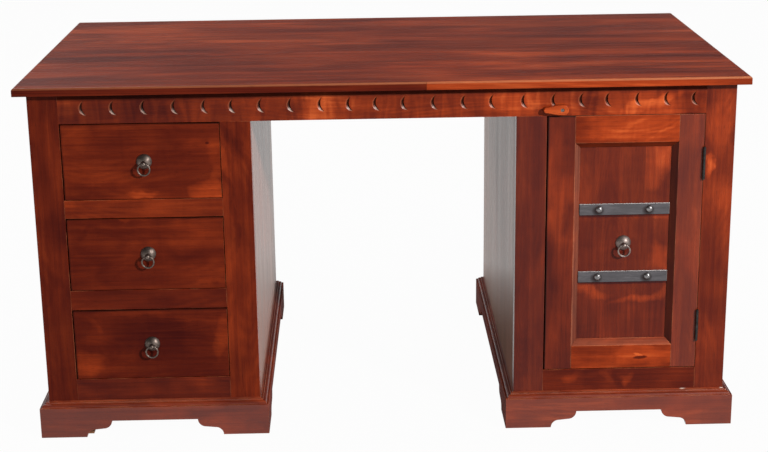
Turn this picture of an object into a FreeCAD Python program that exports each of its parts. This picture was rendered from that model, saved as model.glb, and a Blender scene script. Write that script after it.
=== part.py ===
import FreeCAD, Part
import itertools
import math
import os
import re
import Sketcher

# Kneehole writing desk in solid hardwood: a drawer pedestal on the left, a cupboard pedestal on the
# right, a carved apron, bracket-foot plinths, iron straps, ring pulls and a wooden turn button.
# Frame: millimetres, +X to the sitter's right, -Y towards the sitter, +Z up. The origin lies on the
# floor, below the middle of the worktop.

# Driving dimensions: alias, value, meaning.
SIZES = (
    ("desk_width", 1500, "worktop, along X"),
    ("desk_depth", 800, "worktop, along Y"),
    ("desk_height", 768, "floor to the worktop's upper face"),
    ("top_thickness", 17, "worktop"),
    ("top_arris", 5, "rounding of the worktop's upper edge"),
    ("top_under_arris", 1, "rounding of the worktop's lower edge"),
    ("side_overhang", 24, "worktop past the pedestals at each end"),
    ("front_overhang", 25, "worktop past the front frame"),
    ("back_overhang", 25, "worktop past the back"),
    ("kneehole_width", 546, "between the pedestals"),
    ("frame_thickness", 25, "posts, rails and aprons, front to back"),
    ("outer_post_width", 62, "posts at the desk's ends"),
    ("inner_post_width", 63, "posts beside the kneehole"),
    ("apron_height", 63.5, "carved rail under the worktop"),
    ("side_thickness", 20, "pedestal side panels"),
    ("back_thickness", 12, "pedestal back panels"),
    ("floor_thickness", 18, "pedestal floor boards"),
    ("carcass_lift", 45, "floor to the underside of the posts"),
    ("top_opening", 163, "opening of the top drawer, height"),
    ("upper_rail", 39, "rail between the top and middle drawers"),
    ("middle_opening", 159, "opening of the middle drawer, height"),
    ("lower_rail", 43, "rail between the middle and bottom drawers"),
    ("opening_low", 126.5, "floor to the lowest drawer's opening and the door's"),
    ("runner_ledge", 16, "runner reaching in past the post's edge"),
    ("guide_height", 20, "strip that keeps a drawer straight"),
    ("kicker_height", 25, "strip that keeps the top drawer from tipping"),
    ("shelf_thickness", 15, "cupboard shelf"),
    ("shelf_level", 395, "upper face of the cupboard shelf"),
    ("shelf_setback", 60, "shelf edge behind the front frame"),
    ("shelf_slack", 1, "shelf to each side panel"),
    ("cleat_size", 25, "square battens under the worktop and the shelf"),
    ("plinth_thickness", 18, "plinth boards, fixed outside the posts"),
    ("plinth_face", 67.5, "flat part of a plinth board, height"),
    ("plinth_ledge", 4, "flat step below the plinth's ovolo"),
    ("plinth_ovolo", 6, "radius of the plinth's ovolo"),
    ("plinth_bead", 3, "small step above the ovolo"),
    ("plinth_wash", 2, "slope that closes the plinth to the post"),
    ("foot_flat", 98, "foot on the floor, from the plinth's corner"),
    ("foot_cove", 17, "radius of the hollow above the foot"),
    ("foot_step", 20, "nearly flat stretch of the bracket"),
    ("foot_step_rise", 2, "rise of that stretch"),
    ("foot_ovolo", 17.5, "radius of the bracket's round end"),
    ("block_length", 78, "glue block behind each foot, along X"),
    ("long_block", 92, "glue block behind the left front foot, along X"),
    ("block_depth", 30, "glue block, along Y"),
    ("gouge_drop", 32.5, "middle of the crescents below the worktop"),
    ("gouge_radius", 19.5, "sweep of the carving tool"),
    ("gouge_tilt", 22, "lean of the tool, degrees"),
    ("gouge_turn", 10, "turn of a crescent on the apron, degrees"),
    ("gouge_depth", 3.4, "deepest point of a crescent"),
    ("gouge_half_width", 6.3, "half of the tool's V at gouge_lift from its tip"),
    ("gouge_lift", 7, "height of the tool's V"),
    ("front_gap", 1.5, "gap below and right of each drawer front, and above and below the door"),
    ("worn_gap", 2.2, "gap above and left of each drawer front"),
    ("door_gap", 3, "gap at the door's free edge"),
    ("drawer_front_thickness", 22, "drawer fronts"),
    ("drawer_wall", 12, "drawer sides and back"),
    ("drawer_length", 600, "front face to the outside of the drawer's back"),
    ("drawer_floor", 6, "drawer bottom panel"),
    ("drawer_floor_raise", 8, "drawer bottom above the sides' lower edge"),
    ("drawer_groove", 6, "depth of the groove that holds the bottom"),
    ("dovetail_count", 3, "dovetails at the front of each drawer side"),
    ("dovetail_length", 14, "dovetails, into the drawer front"),
    ("dovetail_pin", 10, "wood between the tips of two dovetails"),
    ("dovetail_flare", 2.5, "widening of a dovetail at each edge"),
    ("drawer_headroom", 5, "drawer sides below the rail above"),
    ("slide_gap", 0.3, "drawer sides above their runners"),
    ("top_pull_shift", 6, "top pull right of the drawer's middle"),
    ("middle_pull_shift", 4, "middle pull right of the drawer's middle"),
    ("bottom_pull_shift", 2, "bottom pull right of the drawer's middle"),
    ("pull_radius", 16, "dome of a ring pull"),
    ("pull_rim", 1, "square rim of the dome on the wood"),
    ("pull_crown", 9.5, "top of the dome above the wood"),
    ("pull_nose_radius", 5.5, "round nose that carries the ring"),
    ("pull_nose_root", 4, "start of the nose inside the dome, above the wood"),
    ("pull_nose_drop", 2.2, "nose below the middle of the dome"),
    ("pull_reach", 13.5, "ring's axis in front of the wood"),
    ("spindle_radius", 2.5, "screwed stem through the wood"),
    ("nut_across", 8, "nut on the stem, across flats"),
    ("nut_height", 4, "nut on the stem"),
    ("stem_tail", 2, "stem past the nut"),
    ("ring_radius", 12.35, "ring, to the middle of its wire"),
    ("ring_wire_radius", 1.9, "ring wire"),
    ("ring_play", 0.3, "ring in its hole"),
    ("door_thickness", 25, "door stiles and rails"),
    ("hinge_gap", 1, "door edge to post at the hinges"),
    ("left_stile", 56.5, "flat face of the door's free stile"),
    ("right_stile", 52, "flat face of the door's hinged stile"),
    ("top_door_rail", 57.5, "flat face of the door's top rail"),
    ("bottom_door_rail", 52, "flat face of the door's bottom rail"),
    ("bevel_width", 12.4, "splayed moulding round the door panel"),
    ("bevel_quirk", 1.5, "square step at the foot of the moulding"),
    ("panel_recess", 13, "door panel behind the door's face"),
    ("panel_thickness", 7, "door panel"),
    ("panel_groove", 8, "groove that holds the door panel"),
    ("panel_slack", 1, "door panel to the bottom of its groove"),
    ("strap_height", 25, "iron straps across the door panel"),
    ("strap_thickness", 3, "iron straps"),
    ("strap_end_gap", 0.3, "strap end to the moulding"),
    ("strap_spread", 149, "strap to strap"),
    ("stud_spread", 106, "stud to stud on a strap"),
    ("stud_radius", 8, "domed studs"),
    ("stud_height", 5, "domed studs"),
    ("hinge_low_inset", 61, "lower hinge above the door's lower edge"),
    ("hinge_high_inset", 71, "upper hinge below the door's upper edge"),
    ("hinge_length", 68, "barrel of a hinge"),
    ("hinge_knuckles", 5, "knuckles of a hinge"),
    ("knuckle_radius", 3, "hinge barrel"),
    ("knuckle_gap", 0.4, "knuckle to knuckle, and barrel to leaf"),
    ("leaf_thickness", 1.5, "hinge leaves"),
    ("leaf_depth", 20, "hinge leaves, front to back"),
    ("leaf_gap", 0.4, "leaf to leaf with the door shut"),
    ("pin_radius", 1.5, "hinge pins"),
    ("pin_play", 0.05, "pin in its knuckles"),
    ("pin_head_radius", 2.4, "heads of the hinge pins"),
    ("pin_head_height", 2, "heads of the hinge pins"),
    ("latch_inset", 30, "turn button's screw from the inner post's edge"),
    ("latch_rise", 14, "turn button's screw above the apron's lower edge"),
    ("latch_thickness", 13, "turn button"),
    ("latch_half_width", 10.3, "turn button at its round head"),
    ("latch_head", 2.7, "middle of the round head past the screw"),
    ("latch_shoulder", 8, "start of the taper from the screw"),
    ("latch_tail", 38.5, "end of the tail from the screw"),
    ("latch_tail_half", 5.5, "half width of the tail's end"),
    ("latch_tail_round", 5, "rounding of the tail's corners"),
    ("latch_edge", 1.5, "rounding of the turn button's front edge"),
    ("latch_gap", 0.4, "turn button to the apron"),
    ("screw_radius", 2, "screw of the turn button"),
    ("screw_play", 0.08, "screw in the turn button"),
    ("screw_length", 20, "screw in the apron"),
    ("screw_head_radius", 3.2, "head of that screw"),
    ("screw_head_height", 2.2, "head of that screw"),
    ("screw_slot_width", 0.9, "slot across that head"),
    ("screw_slot_depth", 1, "slot across that head"),
    ("screw_head_gap", 0.3, "that head to its seat in the turn button"),
    ("screw_recess", 4.2, "counterbore for that head"),
    ("screw_recess_play", 0.5, "counterbore round that head"),
)

# Deepest points of the carved crescents, as shares of the apron's length. They are spaced by eye.
CRESCENTS = (0.0365, 0.0826, 0.1304, 0.1775, 0.2236, 0.2658, 0.3097, 0.3556, 0.4022, 0.4461, 0.4875,
             0.5307, 0.5770, 0.6231, 0.6665, 0.7160, 0.7627, 0.8056, 0.8460, 0.8925, 0.9373, 0.9804)

# Positions worked out from the driving dimensions: alias, formula.
LAYOUT = (
    ("top_underside", "desk_height - top_thickness"),
    ("end_face", "desk_width / 2 - side_overhang"),
    ("front_face", "front_overhang - desk_depth / 2"),
    ("back_face", "desk_depth / 2 - back_overhang"),
    ("frame_back", "front_face + frame_thickness"),
    ("knee_face", "kneehole_width / 2"),
    ("opening_outer", "end_face - outer_post_width"),
    ("opening_inner", "knee_face + inner_post_width"),
    ("opening_middle", "(opening_outer + opening_inner) / 2"),
    ("side_outer", "end_face - side_thickness"),
    ("side_inner", "knee_face + side_thickness"),
    ("back_inside", "back_face - back_thickness"),
    ("apron_low", "top_underside - apron_height"),
    ("upper_rail_top", "apron_low - top_opening"),
    ("upper_rail_low", "upper_rail_top - upper_rail"),
    ("lower_rail_top", "upper_rail_low - middle_opening"),
    ("lower_rail_low", "lower_rail_top - lower_rail"),
    ("plinth_top", "plinth_face + plinth_ovolo + plinth_bead + plinth_wash"),
    ("foot_cove_end", "foot_flat + foot_cove"),
    ("foot_step_end", "foot_cove_end + foot_step"),
    ("foot_end", "foot_step_end + foot_ovolo"),
    ("foot_step_top", "foot_cove + foot_step_rise"),
    ("arch_height", "foot_step_top + foot_ovolo"),
    ("plinth_width", "end_face - knee_face + 2 * plinth_thickness"),
    ("plinth_length", "back_face - front_face + 2 * plinth_thickness"),
    ("door_left", "opening_inner + door_gap"),
    ("door_right", "opening_outer - hinge_gap"),
    ("door_low", "opening_low + front_gap"),
    ("door_high", "apron_low - front_gap"),
    ("door_middle", "(door_low + door_high) / 2"),
    ("hinge_low", "door_low + hinge_low_inset"),
    ("hinge_high", "door_high - hinge_high_inset - hinge_length"),
    ("sight_left", "door_left + left_stile + bevel_width"),
    ("sight_right", "door_right - right_stile - bevel_width"),
    ("sight_low", "door_low + bottom_door_rail + bevel_width"),
    ("sight_high", "door_high - top_door_rail - bevel_width"),
    ("panel_face", "front_face + panel_recess"),
    ("panel_middle", "(sight_left + sight_right) / 2"),
    ("panel_reach", "panel_groove - panel_slack"),
    ("pull_dome", "pull_crown - pull_rim"),
    ("pull_sweep", "(pull_radius ^ 2 + pull_dome ^ 2) / (2 * pull_dome)"),
    ("ring_bow", "(ring_radius - sqrt(ring_radius ^ 2 - pull_nose_radius ^ 2)) / 2"),
    ("pull_bore_radius", "ring_wire_radius + ring_bow + ring_play"),
    ("hinge_x", "opening_outer - hinge_gap / 2"),
    ("hinge_y", "front_face - knuckle_radius - knuckle_gap"),
    ("latch_x", "opening_inner + latch_inset"),
    ("latch_z", "apron_low + latch_rise"),
    ("latch_back", "front_face - latch_gap"),
)

doc = FreeCAD.newDocument("kneehole_desk")
HOME = {}
nodes = []


def write_sheet(name, rows, sign=""):
    """Sheet with one row per alias: its name, its value or formula, and what it means."""
    sheet = doc.addObject("Spreadsheet::Sheet", name)
    for number, (alias, content, *meaning) in enumerate(rows, start=1):
        sheet.set(f"A{number}", alias)
        sheet.set(f"B{number}", sign + (bound(content) if sign else str(content)))
        sheet.setAlias(f"B{number}", alias)
        sheet.set(f"C{number}", " ".join(meaning))
        HOME[alias] = name
    return sheet


def bound(expression):
    """Expression with every alias written with the sheet that holds it."""
    return re.sub(r"[a-z]\w*", lambda word: f"{HOME[word[0]]}.{word[0]}" if word[0] in HOME else word[0],
                  str(expression))


write_sheet("Sizes", SIZES)
layout = write_sheet("Layout", LAYOUT, "=")
doc.recompute()


def value(expression):
    """Number that an expression over the sheets gives."""
    return float(layout.evalExpression(bound(expression)))


def place(item, x="0", y="0", z="0", turn=0):
    """Tie an item's place to the sheets, turned by whole degrees about Z."""
    item.Placement = FreeCAD.Placement(FreeCAD.Vector(), FreeCAD.Rotation(FreeCAD.Vector(0, 0, 1), turn))
    for axis, expression in zip("xyz", (x, y, z)):
        item.setExpression(f"Placement.Base.{axis}", bound(expression))
    return item


def node(item, name):
    """Name a finished sub-part, so that it is written to a file of that name."""
    item.Label = name
    nodes.append(item)
    return item


def board(name, x, y, z):
    """Rectangular piece between two corners: (low, high) expressions along each axis."""
    item = doc.addObject("Part::Box", name)
    for side, (low, high) in zip(("Length", "Width", "Height"), (x, y, z)):
        item.setExpression(side, bound(f"({high}) - ({low})"))
    return place(item, x[0], y[0], z[0])


def rod(name, radius, length, x, y, z, pitch=None):
    """Round piece that starts at a point and runs up, or along Y (pitch is -90)."""
    item = doc.addObject("Part::Cylinder", name)
    item.setExpression("Radius", bound(radius))
    item.setExpression("Height", bound(length))
    place(item, x, y, z)
    if pitch is not None:
        item.Placement.Rotation = FreeCAD.Rotation(FreeCAD.Vector(1, 0, 0), pitch)
    return item


def group(name, pieces):
    """Like pieces of one kind that share a node and stay separate solids."""
    item = doc.addObject("Part::Compound", name)
    item.Links = pieces
    return item


def cut(name, base, tools):
    """Base without its tools."""
    if len(tools) > 1:
        tool = doc.addObject("Part::MultiFuse", name + "_tools")
        tool.Shapes = tools
    else:
        tool = tools[0]
    item = doc.addObject("Part::Cut", name)
    item.Base, item.Tool = base, tool
    return item


def fuse(name, pieces):
    """One solid out of touching pieces."""
    item = doc.addObject("Part::MultiFuse", name)
    item.Shapes = pieces
    return item


def new_body(name):
    """Empty PartDesign body."""
    return doc.addObject("PartDesign::Body", name)


def sketch_on(body, role, name):
    """Empty sketch on one of the body's own origin planes."""
    sketch = body.newObject("Sketcher::SketchObject", name)
    plane = next(feature for feature in body.Origin.OriginFeatures if feature.Role == role)
    sketch.AttachmentSupport = [(plane, "")]
    sketch.MapMode = "FlatFace"
    return sketch


def pin_corner(sketch, edge, end, corner, spot):
    """Hold one end of an edge at its two expressions, measured from the sketch's origin."""
    for kind, expression, number in zip(("DistanceX", "DistanceY"), corner, spot):
        index = sketch.addConstraint(Sketcher.Constraint(kind, -1, 1, edge, end, number))
        sketch.setExpression(f"Constraints[{index}]", bound(expression))


def outline(sketch, corners):
    """Closed outline. A corner is (x, y), or (x, y, radius) where an arc leads to the next corner:
    its centre lies left of the way there, or right if the radius is written with a minus."""
    spots = [(value(corner[0]), value(corner[1])) for corner in corners]
    ends = []
    for number, corner in enumerate(corners):
        start = FreeCAD.Vector(*spots[number], 0)
        stop = FreeCAD.Vector(*spots[(number + 1) % len(corners)], 0)
        if len(corner) == 2:
            edge = sketch.addGeometry(Part.LineSegment(start, stop), False)
            ends.append((edge, 1, 2))
            continue
        radius = value(corner[2])
        half_chord = (stop - start) / 2
        rise = math.sqrt(max(radius * radius - half_chord.Length ** 2, 0))
        left = FreeCAD.Vector(-half_chord.y, half_chord.x, 0).normalize()
        middle = start + half_chord + left * math.copysign(rise, radius)
        first, last = (start, stop) if radius > 0 else (stop, start)
        angles = [math.atan2(spot.y - middle.y, spot.x - middle.x) for spot in (first, last)]
        circle = Part.Circle(middle, FreeCAD.Vector(0, 0, 1), abs(radius))
        edge = sketch.addGeometry(Part.ArcOfCircle(circle, *angles), False)
        ends.append((edge, 1, 2) if radius > 0 else (edge, 2, 1))
        index = sketch.addConstraint(Sketcher.Constraint("Radius", edge, abs(radius)))
        sketch.setExpression(f"Constraints[{index}]", bound(f"abs({corner[2]})"))
    for number, (edge, start_end, stop_end) in enumerate(ends):
        after, after_start, _ = ends[(number + 1) % len(ends)]
        sketch.addConstraint(Sketcher.Constraint("Coincident", edge, stop_end, after, after_start))
        pin_corner(sketch, edge, start_end, corners[number], spots[number])


def circle(sketch, x, y, radius):
    """Circle with its centre and radius tied to the sheets."""
    spot = (value(x), value(y))
    edge = sketch.addGeometry(
        Part.Circle(FreeCAD.Vector(*spot, 0), FreeCAD.Vector(0, 0, 1), value(radius)), False)
    pin_corner(sketch, edge, 3, (x, y), spot)
    index = sketch.addConstraint(Sketcher.Constraint("Radius", edge, value(radius)))
    sketch.setExpression(f"Constraints[{index}]", bound(radius))


def axis_line(sketch, *ends):
    """Construction line between two points, to turn the sketch's outline about."""
    spots = [(value(x), value(y)) for x, y in ends]
    line = Part.LineSegment(*(FreeCAD.Vector(*spot, 0) for spot in spots))
    edge = sketch.addGeometry(line, True)
    for number, (corner, spot) in enumerate(zip(ends, spots), start=1):
        pin_corner(sketch, edge, number, corner, spot)


def revolve(body, sketch, axis):
    """Turn a sketch's outline right round one of its axes."""
    feature = body.newObject("PartDesign::Revolution", sketch.Name + "_turned")
    feature.Profile = sketch
    feature.ReferenceAxis = (sketch, [axis])
    feature.Angle = 360


def pad(body, sketch, length, backwards=False):
    """Extrude a sketch's outline."""
    feature = body.newObject("PartDesign::Pad", sketch.Name + "_pad")
    feature.Profile = sketch
    feature.setExpression("Length", bound(length))
    feature.Reversed = backwards
    return feature


def pocket(body, sketch, depth=None, backwards=False, both_ways=False):
    """Cut a sketch's outline to a depth, or right through where none is given."""
    feature = body.newObject("PartDesign::Pocket", sketch.Name + "_pocket")
    feature.Profile = sketch
    if depth is None:
        feature.Type = "ThroughAll"
    else:
        feature.setExpression("Length", bound(depth))
    if both_ways:
        feature.SideType = "Symmetric"
    feature.Reversed = backwards
    return feature


def round_edges(body, feature, name, radius, wanted):
    """Fillet the edges of a feature whose both ends pass a test."""
    doc.recompute()
    edges = [f"Edge{number}" for number, edge in enumerate(feature.Shape.Edges, start=1)
             if all(wanted(vertex.Point) for vertex in edge.Vertexes)]
    fillet = body.newObject("PartDesign::Fillet", name)
    fillet.Base = (feature, edges)
    fillet.setExpression("Radius", bound(radius))
    return fillet


def mirrored(side, low, high):
    """Span along X for the right side (1), or its mirror image on the left (-1)."""
    return (low, high) if side > 0 else (f"-({high})", f"-({low})")


SIDES = (("left", -1), ("right", 1))


# Worktop, aprons and posts

def make_desk_top():
    """One glued-up panel with a rounded upper edge."""
    body = place(new_body("desk_top"), z="top_underside")
    sketch = sketch_on(body, "XY_Plane", "desk_top_outline")
    outline(sketch, (
        ("-desk_width / 2", "-desk_depth / 2"),
        ("desk_width / 2", "-desk_depth / 2"),
        ("desk_width / 2", "desk_depth / 2"),
        ("-desk_width / 2", "desk_depth / 2"),
    ))
    slab = pad(body, sketch, "top_thickness")
    upper = value("top_thickness")
    rounded = round_edges(body, slab, "desk_top_arris", "top_arris", lambda spot: spot.z > upper / 2)
    round_edges(body, rounded, "desk_top_under_arris", "top_under_arris", lambda spot: spot.z < upper / 1000)
    node(body, "desk_top")


def gouge_tool():
    """Leaning V that runs round an axis, with its deepest point at the origin plus gouge_depth along Y.
    It comes out of the wood on the side away from that point."""
    body = new_body("gouge_tool")
    axis_x = "(gouge_radius * cos(gouge_tilt))"
    axis_y = "(gouge_depth - gouge_radius * sin(gouge_tilt))"
    back_x = "(-gouge_lift * sin(gouge_tilt))"
    back_y = "(gouge_depth - gouge_lift * cos(gouge_tilt))"
    vee = sketch_on(body, "XY_Plane", "gouge_vee")
    outline(vee, (
        ("0", "gouge_depth"),
        (f"{back_x} - gouge_half_width * cos(gouge_tilt)", f"{back_y} + gouge_half_width * sin(gouge_tilt)"),
        (f"{back_x} + gouge_half_width * cos(gouge_tilt)", f"{back_y} - gouge_half_width * sin(gouge_tilt)"),
    ))
    axis_line(vee, (axis_x, axis_y),
              (f"{axis_x} + gouge_lift * sin(gouge_tilt)", f"{axis_y} + gouge_lift * cos(gouge_tilt)"))
    revolve(body, vee, "Axis0")
    return body


def make_front_apron():
    """Rail between the outer posts, with a row of crescents cut by a leaning V tool."""
    length = "(2 * opening_outer)"
    blank = board("front_apron_blank", ("-opening_outer", "opening_outer"), ("front_face", "frame_back"),
                  ("apron_low", "top_underside"))
    cuts = [rod("latch_screw_hole", "screw_radius", "screw_length", "latch_x", "front_face", "latch_z", -90)]
    tool = gouge_tool()
    for number, share in enumerate(CRESCENTS, start=1):
        crescent = doc.addObject("App::Link", f"crescent_{number}")
        crescent.LinkedObject = tool
        crescent.LinkTransform = False
        place(crescent, f"{share} * {length} - opening_outer", "front_face", "top_underside - gouge_drop")
        turn = FreeCAD.Rotation(FreeCAD.Vector(0, -1, 0), value("gouge_turn"))
        crescent.Placement.Rotation = turn
        cuts.append(crescent)
    node(cut("front_apron", blank, cuts), "front_apron")


def make_rear_apron():
    node(board("rear_apron", ("-knee_face", "knee_face"), ("back_face - frame_thickness", "back_face"),
               ("apron_low", "top_underside")), "rear_apron")


def leaf_spot(sign, low):
    """Spans of a hinge leaf beside the hinge axis: sign is 1 for the post and -1 for the door."""
    near = f"hinge_x + {sign} * leaf_gap / 2"
    far = f"{near} + {sign} * leaf_thickness"
    x = (near, far) if sign > 0 else (far, near)
    return x, ("front_face", "front_face + leaf_depth"), (low, f"{low} + hinge_length")


def leaf_seats(name, sign):
    """Shallow recesses for the leaves of both hinges."""
    return [board(f"{name}_{low}", *leaf_spot(sign, low)) for low in ("hinge_low", "hinge_high")]


def make_posts():
    """Outer posts run up to the worktop; inner posts stop under the apron."""
    for name, side in SIDES:
        outer = board(f"{name}_outer_blank", mirrored(side, "opening_outer", "end_face"),
                      ("front_face", "frame_back"), ("carcass_lift", "top_underside"))
        if side > 0:
            outer = cut("right_outer_post", outer, leaf_seats("post_seat", 1))
        node(outer, f"{name}_outer_post")
        node(board(f"{name}_inner_post", mirrored(side, "knee_face", "opening_inner"),
                   ("front_face", "frame_back"), ("carcass_lift", "apron_low")), f"{name}_inner_post")


# Pedestals

def make_panels():
    """Side, back and floor boards, front bottom rails and the two drawer rails."""
    behind = ("frame_back", "back_face")
    upright = ("carcass_lift", "top_underside")
    inside = ("side_inner", "side_outer")
    for name, side in SIDES:
        node(board(f"{name}_outer_side", mirrored(side, "side_outer", "end_face"), behind, upright),
             f"{name}_outer_side")
        node(board(f"{name}_inner_side", mirrored(side, "knee_face", "side_inner"), behind, upright),
             f"{name}_inner_side")
    twins = (
        ("back_panels", inside, ("back_inside", "back_face"), upright),
        ("floor_boards", inside, ("frame_back", "back_inside"),
         ("opening_low - floor_thickness", "opening_low")),
        ("bottom_rails", ("opening_inner", "opening_outer"), ("front_face", "frame_back"),
         ("carcass_lift", "opening_low")),
    )
    for label, x, y, z in twins:
        pieces = [board(f"{name}_{label}", mirrored(side, *x), y, z) for name, side in SIDES]
        node(group(label, pieces), label)
    rails = [board(name, mirrored(-1, "opening_inner", "opening_outer"), ("front_face", "frame_back"), z)
             for name, z in (("upper_drawer_rail", ("upper_rail_low", "upper_rail_top")),
                             ("lower_drawer_rail", ("lower_rail_low", "lower_rail_top")))]
    node(group("drawer_rails", rails), "drawer_rails")


def make_drawer_guides():
    """Runners carry the drawers, guides keep them straight and kickers keep them level."""
    depth = ("frame_back", "back_inside")
    ledges = (
        ("upper", ("upper_rail_low", "upper_rail_top")),
        ("lower", ("lower_rail_low", "lower_rail_top")),
        ("kicker", ("apron_low", "apron_low + kicker_height")),
    )
    strips = []
    for wall, on_outer, on_guide in (
            ("outer", ("opening_outer - runner_ledge", "side_outer"), ("opening_outer", "side_outer")),
            ("inner", ("side_inner", "opening_inner + runner_ledge"), ("side_inner", "opening_inner"))):
        for level, z in ledges:
            strips.append(board(f"{wall}_{level}_runner", mirrored(-1, *on_outer), depth, z))
        for level, low in (("top", "upper_rail_top"), ("middle", "lower_rail_top"),
                           ("bottom", "opening_low")):
            strips.append(board(f"{wall}_{level}_guide", mirrored(-1, *on_guide), depth,
                                (low, f"{low} + guide_height")))
    node(group("drawer_runners", strips), "drawer_runners")


def make_shelf():
    """Cupboard shelf on two battens; battens of the same size hold the worktop."""
    depth = ("front_face + shelf_setback", "back_inside")
    node(board("cupboard_shelf", ("side_inner + shelf_slack", "side_outer - shelf_slack"), depth,
               ("shelf_level - shelf_thickness", "shelf_level")), "cupboard_shelf")
    under_shelf = ("shelf_level - shelf_thickness - cleat_size", "shelf_level - shelf_thickness")
    under_top = ("top_underside - cleat_size", "top_underside")
    against_inner = ("side_inner", "side_inner + cleat_size")
    against_outer = ("side_outer - cleat_size", "side_outer")
    cleats = []
    for wall, x in (("inner", against_inner), ("outer", against_outer)):
        cleats.append(board(f"{wall}_shelf_cleat", x, depth, under_shelf))
        for name, side in SIDES:
            cleats.append(board(f"{name}_{wall}_top_cleat", mirrored(side, *x), ("frame_back", "back_inside"),
                                under_top))
    node(group("cleats", cleats), "cleats")


# Plinths

def plinth_board(name, length, x, y, turn):
    """Moulded board with bracket feet and mitred ends. Its own X runs along the outer face, Y inwards."""
    body = place(new_body(name), x, y, "0", turn)
    section = sketch_on(body, "YZ_Plane", f"{name}_section")
    ovolo_front = "plinth_ledge"
    ovolo_back = "plinth_ledge + plinth_ovolo"
    ovolo_top = "plinth_face + plinth_ovolo"
    bead_top = "plinth_face + plinth_ovolo + plinth_bead"
    outline(section, (
        ("0", "0"),
        ("plinth_thickness", "0"),
        ("plinth_thickness", "plinth_top"),
        ("(plinth_thickness + plinth_ledge + plinth_ovolo + plinth_bead) / 2", bead_top),
        (f"{ovolo_back} + plinth_bead / 2", bead_top),
        (f"{ovolo_back} + plinth_bead / 2", ovolo_top),
        (ovolo_back, ovolo_top, "plinth_ovolo"),
        (ovolo_front, "plinth_face"),
        ("0", "plinth_face"),
    ))
    pad(body, section, length)
    arch = sketch_on(body, "XZ_Plane", f"{name}_arch")
    outline(arch, (
        ("foot_flat", "0", "-foot_cove"),
        ("foot_cove_end", "foot_cove"),
        ("foot_step_end", "foot_step_top", "foot_ovolo"),
        ("foot_end", "arch_height"),
        (f"{length} - foot_end", "arch_height", "foot_ovolo"),
        (f"{length} - foot_step_end", "foot_step_top"),
        (f"{length} - foot_cove_end", "foot_cove", "-foot_cove"),
        (f"{length} - foot_flat", "0"),
    ))
    pocket(body, arch)
    for end, start, inside in (("near", "0", "plinth_thickness"),
                               ("far", length, f"{length} - plinth_thickness")):
        mitre = sketch_on(body, "XY_Plane", f"{name}_{end}_mitre")
        outline(mitre, ((start, "0"), (inside, "plinth_thickness"), (start, "plinth_thickness")))
        pocket(body, mitre, backwards=True)
    node(body, name)


def make_plinths():
    """Four boards round each pedestal, and a glue block behind each foot."""
    front = "front_face - plinth_thickness"
    back = "back_face + plinth_thickness"
    blocks = []
    for name, side in SIDES:
        low, high = mirrored(side, "knee_face - plinth_thickness", "end_face + plinth_thickness")
        low_name, high_name = ("outer", "inner") if side < 0 else ("inner", "outer")
        plinth_board(f"{name}_front_plinth", "plinth_width", low, front, 0)
        plinth_board(f"{name}_{high_name}_plinth", "plinth_length", high, front, 90)
        plinth_board(f"{name}_back_plinth", "plinth_width", high, back, 180)
        plinth_board(f"{name}_{low_name}_plinth", "plinth_length", low, back, -90)
        for wall, place_name in itertools.product(("outer", "inner"), ("front", "back")):
            corner = (name, wall, place_name)
            length = "long_block" if corner == ("left", "outer", "front") else "block_length"
            x = {"outer": (f"end_face - {length}", "end_face"),
                 "inner": ("knee_face", f"knee_face + {length}")}
            y = {"front": ("front_face", "front_face + block_depth"),
                 "back": ("back_face - block_depth", "back_face")}
            blocks.append(board("_".join(corner) + "_block", mirrored(side, *x[wall]), y[place_name],
                                ("0", "carcass_lift")))
    node(group("foot_blocks", blocks), "foot_blocks")


# Ring pulls

def make_pull(name, x, face, z, wood):
    """Dome with a stem and a nut through the wood, and a ring through its nose."""
    knob = place(new_body(f"{name}_knob"), x, face, z)
    profile = sketch_on(knob, "YZ_Plane", f"{name}_profile")
    stem_end = f"{wood} + nut_height + stem_tail"
    outline(profile, (
        (stem_end, "0"),
        (stem_end, "spindle_radius"),
        ("0", "spindle_radius"),
        ("0", "pull_radius"),
        ("-pull_rim", "pull_radius", "pull_sweep"),
        ("-pull_crown", "0"),
    ))
    revolve(knob, profile, "H_Axis")
    nose = sketch_on(knob, "YZ_Plane", f"{name}_nose")
    outline(nose, (
        ("-pull_nose_root", "-pull_nose_drop"),
        ("-pull_nose_root", "pull_nose_radius - pull_nose_drop"),
        ("-pull_reach", "pull_nose_radius - pull_nose_drop", "pull_nose_radius"),
        ("-(pull_reach + pull_nose_radius)", "-pull_nose_drop"),
    ))
    axis_line(nose, ("0", "-pull_nose_drop"), ("-pull_reach", "-pull_nose_drop"))
    revolve(knob, nose, "Axis0")
    bore = sketch_on(knob, "YZ_Plane", f"{name}_bore")
    circle(bore, "-pull_reach", "-pull_nose_drop", "pull_bore_radius")
    pocket(knob, bore, both_ways=True)
    nut = doc.addObject("Part::Prism", f"{name}_nut_blank")
    nut.Polygon = 6
    nut.setExpression("Circumradius", bound("nut_across / sqrt(3)"))
    nut.setExpression("Height", bound("nut_height"))
    place(nut, x, f"{face} + {wood}", z)
    nut.Placement.Rotation = FreeCAD.Rotation(FreeCAD.Vector(1, 0, 0), -90)
    thread = rod(f"{name}_nut_hole", "spindle_radius", "nut_height", x, f"{face} + {wood}", z, -90)
    pieces = group(f"{name}_pull", [knob, cut(f"{name}_nut", nut, [thread])])
    node(pieces, f"{name}_pull")
    ring = doc.addObject("Part::Torus", f"{name}_ring")
    ring.setExpression("Radius1", bound("ring_radius"))
    ring.setExpression("Radius2", bound("ring_wire_radius"))
    # The wire bows upwards inside the nose, so half of that bow lies each side of the bore's axis.
    place(ring, x, f"{face} - pull_reach", f"{z} - pull_nose_drop - ring_radius + ring_bow")
    ring.Placement.Rotation = FreeCAD.Rotation(FreeCAD.Vector(1, 0, 0), 90)
    node(ring, f"{name}_ring")


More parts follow.
